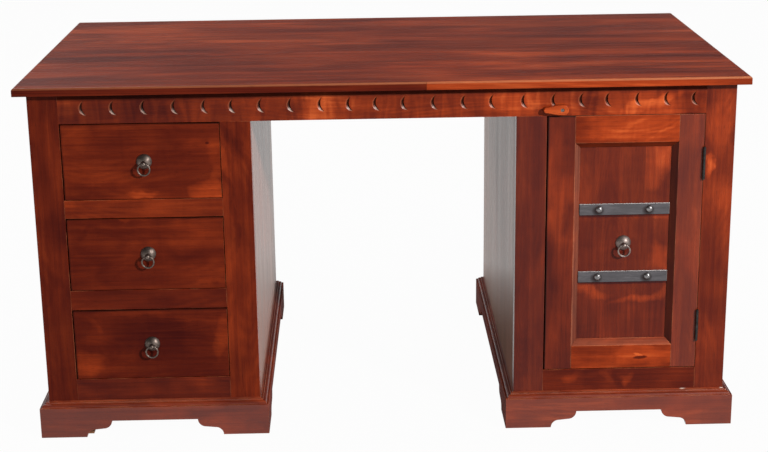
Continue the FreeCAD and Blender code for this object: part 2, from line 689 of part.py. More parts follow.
def pull_hole(name, x, face, z, wood):
    """Hole for the stem of a pull."""
    return rod(f"{name}_pull_hole", "spindle_radius", wood, x, face, z, -90)


# Drawers

def drawer_side(name, x, z, height):
    """Board along Y whose front edge ends in dovetails. Its own Y is measured from the front frame."""
    body = place(new_body(name), x, "front_face", z)
    sketch = sketch_on(body, "YZ_Plane", f"{name}_outline")
    tips = "drawer_front_thickness - dovetail_length"
    corners = [("drawer_front_thickness", "0"), ("drawer_length", "0"), ("drawer_length", height),
               ("drawer_front_thickness", height)]
    for number in reversed(range(int(value("dovetail_count")))):
        low = f"{number} * ({height}) / dovetail_count + dovetail_pin / 2"
        high = f"{number + 1} * ({height}) / dovetail_count - dovetail_pin / 2"
        corners += [("drawer_front_thickness", f"{high} - dovetail_flare"), (tips, high), (tips, low),
                    ("drawer_front_thickness", f"{low} + dovetail_flare")]
    outline(sketch, corners)
    pad(body, sketch, "drawer_wall")
    return body


def make_drawer(level, low, high):
    """Front flush with the frame, dovetailed sides, a back on a grooved-in bottom, and a ring pull."""
    name = f"{level}_drawer"
    outer_x = ("-opening_outer + worn_gap", "-opening_inner - front_gap")
    inner_x = (f"{outer_x[0]} + drawer_wall", f"{outer_x[1]} - drawer_wall")
    front_back = "front_face + drawer_front_thickness"
    rear = "front_face + drawer_length"
    side_low = f"{low} + slide_gap"
    side_high = f"{high} - drawer_headroom"
    floor_z = (f"{side_low} + drawer_floor_raise", f"{side_low} + drawer_floor_raise + drawer_floor")
    floor = board(f"{name}_bottom", (f"{inner_x[0]} - drawer_groove", f"{inner_x[1]} + drawer_groove"),
                  (f"{front_back} - drawer_groove", rear), floor_z)
    pull_x = f"{level}_pull_shift - opening_middle"
    pull_z = f"({low} + {high}) / 2"
    blank = board(f"{name}_front_blank", outer_x, ("front_face", front_back),
                  (f"{low} + front_gap", f"{high} - worn_gap"))
    hole = pull_hole(name, pull_x, "front_face", pull_z, "drawer_front_thickness")
    sides = [drawer_side(f"{name}_{side}_blank", x, side_low, f"({side_high}) - ({side_low})")
             for side, x in (("left", outer_x[0]), ("right", inner_x[1]))]
    node(cut(f"{name}_front", blank, [floor, hole, *sides]), f"{name}_front")
    node(group(f"{name}_sides", [cut(f"{side.Name}_grooved", side, [floor]) for side in sides]),
         f"{name}_sides")
    node(board(f"{name}_back", inner_x, (f"{rear} - drawer_wall", rear), (floor_z[1], side_high)),
         f"{name}_back")
    node(floor, f"{name}_bottom")
    make_pull(name, pull_x, "front_face", pull_z, "drawer_front_thickness")


# Door

def make_stile(name, side, flat, x):
    """Upright of the door. Its own X runs from the door's outer edge inwards, mirrored on the right."""
    body = place(new_body(f"{name}_blank"), x, "front_face", "door_low")
    sight = f"({flat} + bevel_width)"
    section = sketch_on(body, "XY_Plane", f"{name}_section")
    step = "panel_recess - bevel_quirk"
    corners = (
        ("0", "0"),
        (flat, "0"),
        (sight, step),
        (sight, "panel_recess"),
        (f"{sight} - panel_groove", "panel_recess"),
        (f"{sight} - panel_groove", "panel_recess + panel_thickness"),
        (sight, "panel_recess + panel_thickness"),
        (sight, "door_thickness"),
        ("0", "door_thickness"),
    )
    signed = "" if side < 0 else "-"
    outline(section, [(f"{signed}({along})", depth) for along, depth in corners])
    pad(body, section, "door_high - door_low")
    for end, edge, shoulder, mitre in (
            ("low", "0", "bottom_door_rail", "bottom_door_rail + bevel_width"),
            ("high", "door_high - door_low", "door_high - door_low - top_door_rail",
             "door_high - door_low - top_door_rail - bevel_width")):
        waste = sketch_on(body, "XZ_Plane", f"{name}_{end}_waste")
        outline(waste, [(f"{signed}({along})", up) for along, up in (
            (flat, edge), (f"{sight} + panel_groove", edge), (f"{sight} + panel_groove", mitre),
            (sight, mitre), (flat, shoulder))])
        pocket(body, waste)
    return body


def make_door_rail(name, side, flat, z):
    """Crosspiece of the door between the stiles. Its own Z runs from the outer edge inwards."""
    length = "(door_right - right_stile - door_left - left_stile)"
    body = place(new_body(name), "door_left + left_stile", "front_face", z)
    signed = "" if side < 0 else "-"
    sight = f"({flat} + bevel_width)"
    section = sketch_on(body, "YZ_Plane", f"{name}_section")
    corners = (
        ("0", "0"),
        ("0", flat),
        ("panel_recess - bevel_quirk", sight),
        ("panel_recess", sight),
        ("panel_recess", f"{sight} - panel_groove"),
        ("panel_recess + panel_thickness", f"{sight} - panel_groove"),
        ("panel_recess + panel_thickness", sight),
        ("door_thickness", sight),
        ("door_thickness", "0"),
    )
    outline(section, [(depth, f"{signed}({up})") for depth, up in corners])
    pad(body, section, length)
    for end, start, inside in (("left", "0", "bevel_width"), ("right", length, f"{length} - bevel_width")):
        mitre = sketch_on(body, "XZ_Plane", f"{name}_{end}_mitre")
        outline(mitre, [(along, f"{signed}({up})") for along, up in (
            (start, flat), (inside, sight), (start, sight))])
        pocket(body, mitre)
    node(body, name)


def make_door():
    """Framed door with a sunk panel, two studded iron straps and a ring pull."""
    node(make_stile("door_left_stile", -1, "left_stile", "door_left"), "door_left_stile")
    hinged = make_stile("door_right_stile", 1, "right_stile", "door_right")
    node(cut("door_right_stile", hinged, leaf_seats("stile_seat", -1)), "door_right_stile")
    make_door_rail("door_bottom_rail", -1, "bottom_door_rail", "door_low")
    make_door_rail("door_top_rail", 1, "top_door_rail", "door_high")
    blank = board("door_panel_blank", ("sight_left - panel_reach", "sight_right + panel_reach"),
                  ("panel_face", "panel_face + panel_thickness"),
                  ("sight_low - panel_reach", "sight_high + panel_reach"))
    hole = pull_hole("door", "panel_middle", "panel_face", "door_middle", "panel_thickness")
    node(cut("door_panel", blank, [hole]), "door_panel")
    straps, studs = [], []
    for name, level in (("upper", "door_middle + strap_spread / 2"),
                        ("lower", "door_middle - strap_spread / 2")):
        straps.append(board(f"{name}_strap", ("sight_left + strap_end_gap", "sight_right - strap_end_gap"),
                            ("panel_face - strap_thickness", "panel_face"),
                            (f"{level} - strap_height / 2", f"{level} + strap_height / 2")))
        for side, sign in (("left", "-"), ("right", "+")):
            studs.append(make_stud(f"{name}_{side}_stud", f"panel_middle {sign} stud_spread / 2", level))
    node(group("door_straps", straps), "door_straps")
    node(group("door_studs", studs), "door_studs")
    make_pull("door", "panel_middle", "panel_face", "door_middle", "panel_thickness")


def make_stud(name, x, z):
    """Domed head on a strap."""
    body = place(new_body(name), x, "panel_face - strap_thickness", z)
    profile = sketch_on(body, "YZ_Plane", f"{name}_profile")
    dome = "(stud_radius ^ 2 + stud_height ^ 2) / (2 * stud_height)"
    outline(profile, (("0", "0"), ("0", "stud_radius", dome), ("-stud_height", "0")))
    revolve(body, profile, "H_Axis")
    return body


# Butt hinges

def hinge_leaf(name, sign, low, first):
    """Leaf with every second knuckle, from the one numbered first; sign is as in leaf_spot."""
    x, y, z = leaf_spot(sign, low)
    pieces = [board(f"{name}_plate", x, y, z)]
    pitch = "((hinge_length + knuckle_gap) / hinge_knuckles)"
    for number in range(first, int(value("hinge_knuckles")), 2):
        start = f"{low} + {number} * {pitch}"
        height = f"{pitch} - knuckle_gap"
        pieces.append(rod(f"{name}_knuckle_{number}", "knuckle_radius", height, "hinge_x", "hinge_y", start))
        pieces.append(board(f"{name}_web_{number}", x, ("hinge_y", y[0]), (start, f"{start} + {height}")))
    bore = rod(f"{name}_bore", "pin_radius + pin_play", "hinge_length", "hinge_x", "hinge_y", low)
    return cut(name, fuse(f"{name}_blank", pieces), [bore])


def make_hinges():
    """Two butt hinges: leaves with meshing knuckles and a headed pin through them."""
    leaves = {"post": [], "door": []}
    pins = []
    for level, low in (("lower", "hinge_low"), ("upper", "hinge_high")):
        leaves["post"].append(hinge_leaf(f"{level}_post_leaf", 1, low, 0))
        leaves["door"].append(hinge_leaf(f"{level}_door_leaf", -1, low, 1))
        shank = rod(f"{level}_pin_shank", "pin_radius", "hinge_length", "hinge_x", "hinge_y", low)
        head = rod(f"{level}_pin_head", "pin_head_radius", "pin_head_height", "hinge_x", "hinge_y",
                   f"{low} + hinge_length")
        pins.append(fuse(f"{level}_pin", [shank, head]))
    node(group("hinge_post_leaves", leaves["post"]), "hinge_post_leaves")
    node(group("hinge_door_leaves", leaves["door"]), "hinge_door_leaves")
    node(group("hinge_pins", pins), "hinge_pins")


# Turn button

def make_latch():
    """Wooden turn button, turned aside so that its tail points left and clears the door."""
    body = place(new_body("latch_blank"), "latch_x", "latch_back", "latch_z")
    shape = sketch_on(body, "XZ_Plane", "latch_outline")
    outline(shape, (
        ("latch_head", "-latch_half_width", "latch_half_width"),
        ("latch_head + latch_half_width", "0", "latch_half_width"),
        ("latch_head", "latch_half_width"),
        ("-latch_shoulder", "latch_half_width"),
        ("latch_tail_round - latch_tail", "latch_tail_half", "latch_tail_round"),
        ("-latch_tail", "latch_tail_half - latch_tail_round"),
        ("-latch_tail", "latch_tail_round - latch_tail_half", "latch_tail_round"),
        ("latch_tail_round - latch_tail", "-latch_tail_half"),
        ("-latch_shoulder", "-latch_half_width"),
    ))
    slab = pad(body, shape, "latch_thickness")
    front = -value("latch_thickness")
    round_edges(body, slab, "latch_arris", "latch_edge", lambda spot: spot.y < front / 2)
    hole = sketch_on(body, "XZ_Plane", "latch_hole")
    circle(hole, "0", "0", "screw_radius + screw_play")
    pocket(body, hole, backwards=True)
    recess = rod("latch_recess", "screw_head_radius + screw_recess_play", "screw_recess", "latch_x",
                 "latch_back - latch_thickness", "latch_z", -90)
    node(cut("latch_button", body, [recess]), "latch_button")
    seat = "latch_back - latch_thickness + screw_recess"
    head_back = f"{seat} - screw_head_gap"
    shank = rod("latch_screw_shank", "screw_radius", f"front_face + screw_length - ({head_back})",
                "latch_x", head_back, "latch_z", -90)
    head_front = f"{head_back} - screw_head_height"
    head = rod("latch_screw_head", "screw_head_radius", "screw_head_height", "latch_x", head_front,
               "latch_z", -90)
    slot = board("latch_screw_slot", ("latch_x - screw_slot_width / 2", "latch_x + screw_slot_width / 2"),
                 (head_front, f"{head_front} + screw_slot_depth"),
                 ("latch_z - screw_head_radius", "latch_z + screw_head_radius"))
    node(cut("latch_screw", fuse("latch_screw_blank", [shank, head]), [slot]), "latch_screw")


make_desk_top()
make_front_apron()
make_rear_apron()
make_posts()
make_panels()
make_drawer_guides()
make_shelf()
make_plinths()
make_drawer("top", "upper_rail_top", "apron_low")
make_drawer("middle", "lower_rail_top", "upper_rail_low")
make_drawer("bottom", "opening_low", "lower_rail_low")
make_door()
make_hinges()
make_latch()
doc.recompute()

failed = [item.Label for item in doc.Objects if "Invalid" in item.State or "Error" in item.State]
failed += [item.Label for item in nodes if item.Shape.isNull() or not item.Shape.isValid()]
if failed:
    raise SystemExit("not built: " + ", ".join(failed))

os.makedirs("parts", exist_ok=True)
for item in nodes:
    item.Shape.exportStep(f"parts/{item.Label}.step")
print(len(nodes), "sub-parts written")
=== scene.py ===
import math

import bmesh
import bpy
from mathutils import Matrix, Vector


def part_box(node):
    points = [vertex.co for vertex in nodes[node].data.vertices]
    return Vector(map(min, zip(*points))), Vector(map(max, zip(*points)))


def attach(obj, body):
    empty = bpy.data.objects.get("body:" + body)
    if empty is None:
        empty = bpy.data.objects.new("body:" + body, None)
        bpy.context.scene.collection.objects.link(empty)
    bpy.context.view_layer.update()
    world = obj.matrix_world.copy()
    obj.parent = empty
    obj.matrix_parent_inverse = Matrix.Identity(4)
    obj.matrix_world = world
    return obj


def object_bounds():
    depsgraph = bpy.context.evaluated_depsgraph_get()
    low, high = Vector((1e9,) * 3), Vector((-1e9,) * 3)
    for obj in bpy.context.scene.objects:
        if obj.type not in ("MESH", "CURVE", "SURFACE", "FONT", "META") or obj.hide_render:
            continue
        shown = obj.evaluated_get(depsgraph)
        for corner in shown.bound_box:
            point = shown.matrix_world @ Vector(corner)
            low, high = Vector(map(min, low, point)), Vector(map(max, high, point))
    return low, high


# Looks of the kneehole desk: lacquered hardwood, iron fittings, floor, lights and camera.
# Lengths are in metres, in the frame of the packed model. Colours are linear.

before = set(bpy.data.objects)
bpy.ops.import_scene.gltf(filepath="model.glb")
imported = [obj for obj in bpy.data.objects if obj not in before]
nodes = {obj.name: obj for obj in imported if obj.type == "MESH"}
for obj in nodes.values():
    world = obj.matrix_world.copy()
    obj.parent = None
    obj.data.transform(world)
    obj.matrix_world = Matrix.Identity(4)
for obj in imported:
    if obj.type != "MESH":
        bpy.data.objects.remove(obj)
cad_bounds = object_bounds()

MM = 0.001
AXES = "XYZ"

# The desk's left end, near side, right end and top, and the front faces of posts, rails and drawers
(LEFT, NEAR, _), (RIGHT, _, TOP) = cad_bounds
FRONT = NEAR + 0.025

# Camera: where it stands, how it is turned, and its lens, for a picture 768 pixels wide
PICTURE_WIDTH = 768
CAMERA_PLACE = (-0.0604, -3.3942, 1.3993)
CAMERA_PITCH = -0.269
CAMERA_ROLL = 0.013
CAMERA_YAW = -0.019
FOCAL_PIXELS = 1512.7
OPTICAL_AXIS_SHIFT = (0.0015, -0.0657)
SENSOR_WIDTH = 36

# Lamps: azimuth from straight in front towards the right, elevation, distance, width and power
KEY_LAMP = (43, 25, 5.0, 0.35, 255)
BACK_LAMP = (-150, 40, 5.0, 2.5, 80)

# Light from all round, at the horizon and overhead; and how bright the sky is in reflections, which
# see white up to the first of two heights above the horizon and the sky from the second
AMBIENT = (0.08, 0.85)
MIRRORED_SKY = 0.10
MIRRORED_HORIZON = (0.02, 0.12)

# Floor: its colour and roughness under the lamps, the share of white that the camera and
# reflections see in their place, and how far it reaches from the middle
WHITE = (1, 1, 1, 1)
FLOOR_COLOUR = (0.30, 0.29, 0.28, 1)
FLOOR_ROUGHNESS = 0.9
FLOOR_GLOW = 0.97
FLOOR_REACH = 14


# Nodes of materials

# Ranges of noise, whose middle is 0.5, that tones and masks are drawn from
WIDE_RANGE = (0.3, 0.7)
MIDDLE_RANGE = (0.35, 0.65)
NARROW_RANGE = (0.40, 0.60)

# Squared distance from an oval's middle, in half sizes, at which it has faded out
SPOT_END = 1.5


class Graph:
    """A node tree, and short ways to add nodes to it. An input is a value, or a socket to link."""

    def __init__(self, tree):
        self.tree = tree

    def add(self, kind, inputs=None, **settings):
        """New shader node."""
        item = self.tree.nodes.new("ShaderNode" + kind)
        for key, content in settings.items():
            setattr(item, key, content)
        for key, content in (inputs or {}).items():
            self.feed(item, key, content)
        return item

    def feed(self, item, key, content):
        """Set or link one input of a node."""
        if isinstance(content, bpy.types.NodeSocket):
            self.tree.links.new(content, item.inputs[key])
        else:
            item.inputs[key].default_value = content

    def calculate(self, operation, first, second=0.0, clamp=False):
        """Result of one step of arithmetic."""
        sockets = {0: first, 1: second}
        return self.add("Math", sockets, operation=operation, use_clamp=clamp).outputs[0]

    def plus(self, first, second):
        """Sum of two numbers."""
        return self.calculate("ADD", first, second)

    def minus(self, first, second):
        """Difference of two numbers."""
        return self.calculate("SUBTRACT", first, second)

    def times(self, product, *factors):
        """Product of two or more numbers."""
        for factor in factors:
            product = self.calculate("MULTIPLY", product, factor)
        return product

    def clamped(self, number):
        """Number held between 0 and 1."""
        return self.calculate("ADD", number, 0.0, clamp=True)

    def spread(self, number, low, high, to_low=0.0, to_high=1.0):
        """Number carried from one range to another, and held inside it."""
        sockets = {"Value": number, "From Min": low, "From Max": high, "To Min": to_low,
                   "To Max": to_high}
        return self.add("MapRange", sockets).outputs[0]

    def blend(self, number, share, other):
        """Number under a share of another."""
        return self.add("Mix", {0: share, 2: number, 3: other}, data_type="FLOAT").outputs[0]

    def cover(self, colour, share, other):
        """Colour under a share of another."""
        return self.add("Mix", {0: share, 6: colour, 7: other}, data_type="RGBA").outputs[2]

    def ramp(self, number, stops):
        """Colour for a number from 0 to 1, by (place, colour) stops."""
        item = self.add("ValToRGB", {"Fac": number})
        elements = item.color_ramp.elements
        while len(elements) < len(stops):
            elements.new(0.5)
        for element, (place, colour) in zip(elements, stops):
            element.position = place
            element.color = (*colour, 1)
        return item.outputs["Color"]

    def spot(self, source, oval, face):
        """Soft oval on a face, named by its two axes: 1 inside, 0 outside. An oval is its middle,
        its two half sizes and its turn in degrees."""
        first, second, half_first, half_second, turn = oval
        cosine, sine = math.cos(math.radians(turn)), math.sin(math.radians(turn))
        distance = 0.0
        for over, up, half in ((cosine, sine, half_first), (-sine, cosine, half_second)):
            direction = [0, 0, 0]
            direction[AXES.index(face[0])] = over / half
            direction[AXES.index(face[1])] = up / half
            reach = self.add("VectorMath", {0: source, 1: direction}, operation="DOT_PRODUCT")
            offset = self.minus(reach.outputs["Value"], (over * first + up * second) / half)
            distance = self.plus(self.times(offset, offset), distance)
        return self.spread(distance, SPOT_END, 0.0)


def new_material(name):
    """Material with one Principled shader, its tree and that shader."""
    material = bpy.data.materials.new(name)
    material.use_nodes = True
    tree = material.node_tree
    return material, tree, tree.nodes["Principled BSDF"]


# Wood

# Colours of wood from its darkest streak to its lightest
STOPS = (0.0, 0.36, 0.68, 1.0)
BROWN = tuple(zip(STOPS, (
    (0.048, 0.0040, 0.0030), (0.096, 0.0100, 0.0040),
    (0.160, 0.0203, 0.0056), (0.285, 0.0440, 0.0125))))
ORANGE = tuple(zip(STOPS, (
    (0.100, 0.0115, 0.0040), (0.210, 0.0250, 0.0065),
    (0.370, 0.0470, 0.0100), (0.600, 0.1050, 0.0240))))
RAW = tuple(zip(STOPS, (
    (0.150, 0.062, 0.028), (0.250, 0.112, 0.052),
    (0.345, 0.170, 0.085), (0.450, 0.250, 0.135))))

# Colours of wear and wax, and of painted highlights, painted shade and a painted reflection. The
# dark colour of pores also serves as painted shade.
WORN = (0.40, 0.135, 0.060, 1)
SPLAY_HIGHLIGHT = (0.46, 0.22, 0.14, 1)
PAINTED_GLINT = (0.80, 0.66, 0.56, 1)
BARE = (0.62, 0.50, 0.42, 1)
PORE_AND_SHADE = (0.012, 0.003, 0.002, 1)
PAINTED_SHADE = (0.032, 0.006, 0.004, 1)
PALE_REFLECTION = (0.42, 0.28, 0.21, 1)
WAX = (1.0, 0.68, 0.48, 1)

# Noises that wood is drawn from: length along the grain, width across it, detail, and in some
# roughness and distortion
CLOUDS = (0.17, 0.085, 2, 0.45, 0.6)
FLAMES = (0.30, 0.030, 3, 0.5, 0.9)
STREAKS = (0.55, 0.007, 4, 0.6, 0.2)
FIBRES = (0.07, 0.0012, 2, 0.5)
BANDS = (0.024, 0.120, 2, 0.5, 1.2)
GROWTH = (0.60, 0.10, 1, 0.4, 0.5)
WARM_CLOUDS = (0.13, 0.055, 2, 0.4, 0.8)
FLECKS = (0.014, 0.0010, 1, 0.5)
WORN_PLACES = (0.05, 0.02, 2)
HIGHLIGHT_PLACES = (0.03, 0.03, 1)
BOWS = (1.4, 0.13, 1, 0.4)

# How far each step of the seed moves the noises, and after how far they start again
SEED_SHIFTS = ((0.731, 5), (1.313, 7), (2.117, 3))

# Lightness of plain wood, how much lighter worn edges are, and how much each noise changes it from
# its lowest to its highest. Growth rings are in the full range of their noise.
PLAIN_LIGHTNESS = 0.44
EDGE_LIGHTNESS = 0.25
CLOUD_SWING = 0.30
FLAME_SWING = 0.20
RING_SWING = 0.14
RING_COUNT = 160
STREAK_SWING, STREAK_RANGE = 0.17, (0.36, 0.64)
FIBRE_SWING, FIBRE_RANGE = 0.14, (0.25, 0.75)

# How far planks differ from the rest in lightness, and patches in warmth, both ways
PLANK_SWING = 0.07
WARMTH_SWING = 0.22

# Marks follow the figure: size and reach of the noise that moves their outlines, and their strength
# from the darkest flames to the lightest. Knots, and the painted shadows kept with them, show on
# faces turned this far to the front.
DRIFT_SCALE = 16.0
DRIFT_REACH = 0.07
MARK_STRENGTH = (0.8, 1.1)
FACING_FRONT = (-0.3, -0.7)

# Pores: the noise over which flecks turn into them, and how dark they are
PORE_RANGE = (0.60, 0.70)
PORE_SHARE = 0.30

# Relief of streaks, fibres and pores, and the bump that it gives bare and lacquered wood
STREAK_RELIEF, FIBRE_RELIEF, PORE_RELIEF = 0.8, 0.2, 0.25
BUMP_DISTANCE = 0.8 * MM
RAW_BUMP = 0.5
LACQUER_BUMP = 0.16

# Shine of bare and lacquered wood. Roughness is given for the darkest and the lightest streaks.
RAW_GLOSS = 0.3
RAW_ROUGHNESS = (0.78, 0.62)
LACQUER_ROUGHNESS = (0.34, 0.24)
WAX_ROUGHNESS = 0.3


class Look:
    """How a piece of wood differs from plain lacquered wood, which is as below."""

    tone = 0.0  # how much lighter it is
    warmth = 0.25  # from brown, at 0, to orange, at 1
    warmth_end = None  # warmth at the desk's right end, where it changes on the way there
    figure = 1.0  # strength of clouds, flames and growth rings
    ripple = 0.05  # strength of bands across the grain
    reach = 1.0  # how far its figure is drawn out along the grain
    gloss = 0.06  # specular level
    painted_reflection = 0.0  # how far it is painted pale, as a painted reflection
    waxed = 0.0  # sheen of the wax
    cupping = 0.0  # how far glued boards bow, in millimetres
    planks = 0.0  # width of glued boards whose lightness differs
    dull = None  # below a height: that height, the depth of the change, how steeply the line sinks
    #              towards the back, and the roughness there. A negative depth means above it.
    face = "XZ"  # axes of the face that has marks
    marks = ()  # soft places that follow the figure: an oval, how much lighter, how much warmer
    # The knots also hold painted shadows: thin dark lines under the door's straps
    knots_and_shadow_lines = ()  # sharp places on the front: the same
    chips = ()  # ovals of bare wood on top
    gapped = False  # a drawer front or door stile with painted shade along its left and upper edges
    framed = False  # painted highlight on splays facing up or right, painted shade elsewhere
    carved = False  # the rail with the crescents
    lipped = False  # the worktop, whose front edge is joined from two strips

    def __init__(self, **differences):
        assert differences.keys() <= vars(Look).keys()
        vars(self).update(differences)


class Wood(Graph):
    """Graph of one wood material, with the places and noises that several steps need."""

    def __init__(self, tree, grain, seed, reach):
        super().__init__(tree)
        self.along = AXES.index(grain)
        self.reach = reach
        texture = self.add("TexCoord").outputs
        self.origin = texture["Object"]
        self.normal = texture["Normal"]
        shift = [seed * step % limit for step, limit in SEED_SHIFTS]
        self.shifted = self.add("Mapping", {"Vector": self.origin, "Location": shift}).outputs[0]
        self.clouds = self.noise(*CLOUDS)
        self.flames = self.noise(*FLAMES)
        self.streaks = self.noise(*STREAKS)
        self.fibres = self.noise(*FIBRES)

    def place(self, axis):
        """Coordinate along an axis."""
        return self.add("SeparateXYZ", {"Vector": self.origin}).outputs[axis]

    def facing(self, axis):
        """How far the surface is turned along an axis, from -1 to 1."""
        return self.add("SeparateXYZ", {"Vector": self.normal}).outputs[axis]

    def noise(self, length, width, detail, roughness=0.55, distortion=0.0):
        """Noise whose features have a length along the grain and a width across it."""
        scale = [1 / width] * 3
        scale[self.along] = 1 / (length * self.reach)
        stretched = self.add("Mapping", {"Vector": self.shifted, "Scale": scale}).outputs[0]
        sockets = {"Vector": stretched, "Scale": 1.0, "Detail": detail, "Roughness": roughness,
                   "Distortion": distortion}
        return self.add("TexNoise", sockets).outputs[0]


def draw_figure(wood, look, edge):
    """Lightness of the wood, 0 at its darkest streak and 1 at its lightest."""
    growth = wood.times(wood.noise(*GROWTH), RING_COUNT)
    rings = wood.times(wood.calculate("SINE", growth), wood.spread(wood.flames, *MIDDLE_RANGE))
    lightness = look.tone + edge * EDGE_LIGHTNESS + PLAIN_LIGHTNESS
    for noise, ends, swing in (
            (wood.clouds, WIDE_RANGE, CLOUD_SWING * look.figure),
            (wood.flames, WIDE_RANGE, FLAME_SWING * look.figure),
            (rings, (-1, 1), RING_SWING * look.figure),
            (wood.streaks, STREAK_RANGE, STREAK_SWING),
            (wood.fibres, FIBRE_RANGE, FIBRE_SWING),
            (wood.noise(*BANDS), WIDE_RANGE, look.ripple)):
        lightness = wood.plus(wood.spread(noise, *ends, -swing / 2, swing / 2), lightness)
    if look.planks:
        board = wood.calculate("DIVIDE", wood.place(look.face[1]), look.planks)
        board = wood.calculate("FLOOR", board)
        chance = wood.add("TexWhiteNoise", {"W": board}, noise_dimensions="1D").outputs["Value"]
        lightness = wood.plus(wood.spread(chance, 0, 1, -PLANK_SWING, PLANK_SWING), lightness)
    return lightness


def draw_warmth(wood, look):
    """Warmth of the wood, 0 where it is brown and 1 where it is orange."""
    warmth = look.warmth
    if look.warmth_end is not None:
        warmth = wood.spread(wood.place("X"), LEFT, RIGHT, look.warmth, look.warmth_end)
    swing = wood.spread(wood.noise(*WARM_CLOUDS), *MIDDLE_RANGE, -WARMTH_SWING, WARMTH_SWING)
    return wood.plus(swing, warmth)


def drift(wood):
    """Place on the wood, moved about by a noise."""
    noise = wood.add("TexNoise", {"Vector": wood.shifted, "Scale": DRIFT_SCALE, "Detail": 3.0})
    centred = wood.add("VectorMath", {0: noise.outputs["Color"], 1: (0.5, 0.5, 0.5)},
                       operation="SUBTRACT")
    moved = wood.add("VectorMath", {0: centred.outputs[0], "Scale": DRIFT_REACH},
                     operation="SCALE")
    return wood.add("VectorMath", {0: wood.origin, 1: moved.outputs[0]}, operation="ADD").outputs[0]


def add_marks(wood, look, lightness, warmth):
    """Lightness and warmth, changed by marks, knots and painted shadows."""
    features = []
    if look.marks:
        drifted = drift(wood)
        flaming = wood.spread(wood.flames, *WIDE_RANGE, *MARK_STRENGTH)
        features += [(drifted, flaming, mark) for mark in look.marks]
    if look.knots_and_shadow_lines:
        in_front = wood.spread(wood.facing("Y"), *FACING_FRONT)
        features += [(wood.origin, in_front, sharp_mark) for sharp_mark in look.knots_and_shadow_lines]
    for source, share, (*oval, lighter, warmer) in features:
        mask = wood.times(wood.spot(source, oval, look.face), share)
        lightness = wood.plus(wood.times(mask, lighter), lightness)
        warmth = wood.plus(wood.times(mask, warmer), warmth)
    return lightness, warmth


# Front edge of the worktop: where its joint is, how sharp that is, and how far from the corner the
# edge starts and is full. The left strip changes in lightness from its end to a distance before the
# joint. The corner grows lighter along the desk.
TOP_JOINT = 0.087
JOINT_BLUR = 0.4 * MM
SEAM_WIDTH = 0.8 * MM
SEAM_SHARE = 0.5
LIP_START, LIP_FULL = 4.5 * MM, 3.0 * MM
LEFT_STRIP_TONES, LEFT_STRIP_FADE = (-0.50, -0.25), 0.3
RIGHT_STRIP_TONE = 0.05
RIGHT_STRIP_WARMTH = 0.5
LIP_LIGHTER_PLACES, LIP_LIGHTER_SHARES = (-0.7, 0.7), (0.35, 0.9)


def find_lip(wood):
    """Mask of the worktop's front edge."""
    return wood.spread(wood.place("Y"), NEAR + LIP_START, NEAR + LIP_FULL)


def join_lip(wood, lightness, warmth):
    """Lightness and warmth, changed where the worktop's front edge is joined from two strips: dark
    on the left, less so towards the joint, and warm on the right."""
    front = find_lip(wood)
    right = wood.spread(wood.place("X"), TOP_JOINT - JOINT_BLUR, TOP_JOINT + JOINT_BLUR)
    left_tone = wood.spread(wood.place("X"), LEFT, TOP_JOINT - LEFT_STRIP_FADE, *LEFT_STRIP_TONES)
    tone = wood.blend(left_tone, right, RIGHT_STRIP_TONE)
    lightness = wood.plus(wood.times(front, tone), lightness)
    warmth = wood.plus(wood.times(front, right, RIGHT_STRIP_WARMTH), warmth)
    return lightness, warmth


def colour_lip(wood, colour):
    """Colour of the worktop, with its upper front corner lighter and a dark seam at the joint."""
    front = find_lip(wood)
    upper = wood.spread(wood.place("Z"), TOP - LIP_START, TOP - LIP_FULL)
    strength = wood.spread(wood.place("X"), *LIP_LIGHTER_PLACES, *LIP_LIGHTER_SHARES)
    colour = wood.cover(colour, wood.times(upper, front, strength), WORN)
    seam = wood.calculate("COMPARE", wood.place("X"), TOP_JOINT)
    seam.node.inputs[2].default_value = SEAM_WIDTH
    return wood.cover(colour, wood.times(front, SEAM_SHARE, seam), PORE_AND_SHADE)


# Painted shade in a leaf's gaps: where it starts and is full, inwards from the leaf's edge, how
# strong it is there, and from the darkest to the lightest clouds; how far a rounded edge faces
# the gap, and how much painted shade that gets
GAP_START, GAP_FULL = 3.4 * MM, 1.2 * MM
GAP_SHARE = 0.75
GAP_CLOUDS, GAP_CLOUD_SHARES = (0.35, 0.6), (1.0, 0.35)
FACING_GAP, FACING_GAP_SHARE = (0.1, 0.3), 0.9


def paint_gap_shade(wood, colour, name, edge):
    """Colour of a leaf, with painted shade along its left and upper edges."""
    low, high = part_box(name)
    # Painted shade on rounded edges that face up or left into the gaps
    if edge:
        turned = wood.minus(wood.facing("Z"), wood.facing("X"))
        colour = wood.cover(colour, wood.spread(turned, *FACING_GAP, 0, FACING_GAP_SHARE), PORE_AND_SHADE)
    cloudy = wood.spread(wood.clouds, *GAP_CLOUDS, *GAP_CLOUD_SHARES)
    for axis, line, inwards in (("X", low[0], 1), ("Z", high[2], -1)):
        gap_shade = wood.spread(wood.place(axis), line + inwards * GAP_START,
                            line + inwards * GAP_FULL, 0, GAP_SHARE)
        colour = wood.cover(colour, wood.times(gap_shade, cloudy), PORE_AND_SHADE)
    return colour


# Splays of the door's frame: how far they are turned from the front, how far up or right the lit
# ones face, and down or left the others; how strong the painted highlight on the lit ones is, from
# the darkest to the lightest streaks, and how strong the painted shade on the others is and how
# rough they are
SPLAYED = (-0.95, -0.85)
LIT = (0.1, 0.4)
UNLIT = (-0.1, -0.4)
LIT_SHARES = (0.04, 0.22)
UNLIT_SHARE = 0.5
UNLIT_ROUGHNESS = 0.9


def find_splays(wood, turned):
    """Mask of a framed piece's splays that are turned up and right by this much."""
    splayed = wood.spread(wood.facing("Y"), *SPLAYED)
    rising = wood.plus(wood.facing("Z"), wood.facing("X"))
    return wood.times(splayed, wood.spread(rising, *turned))


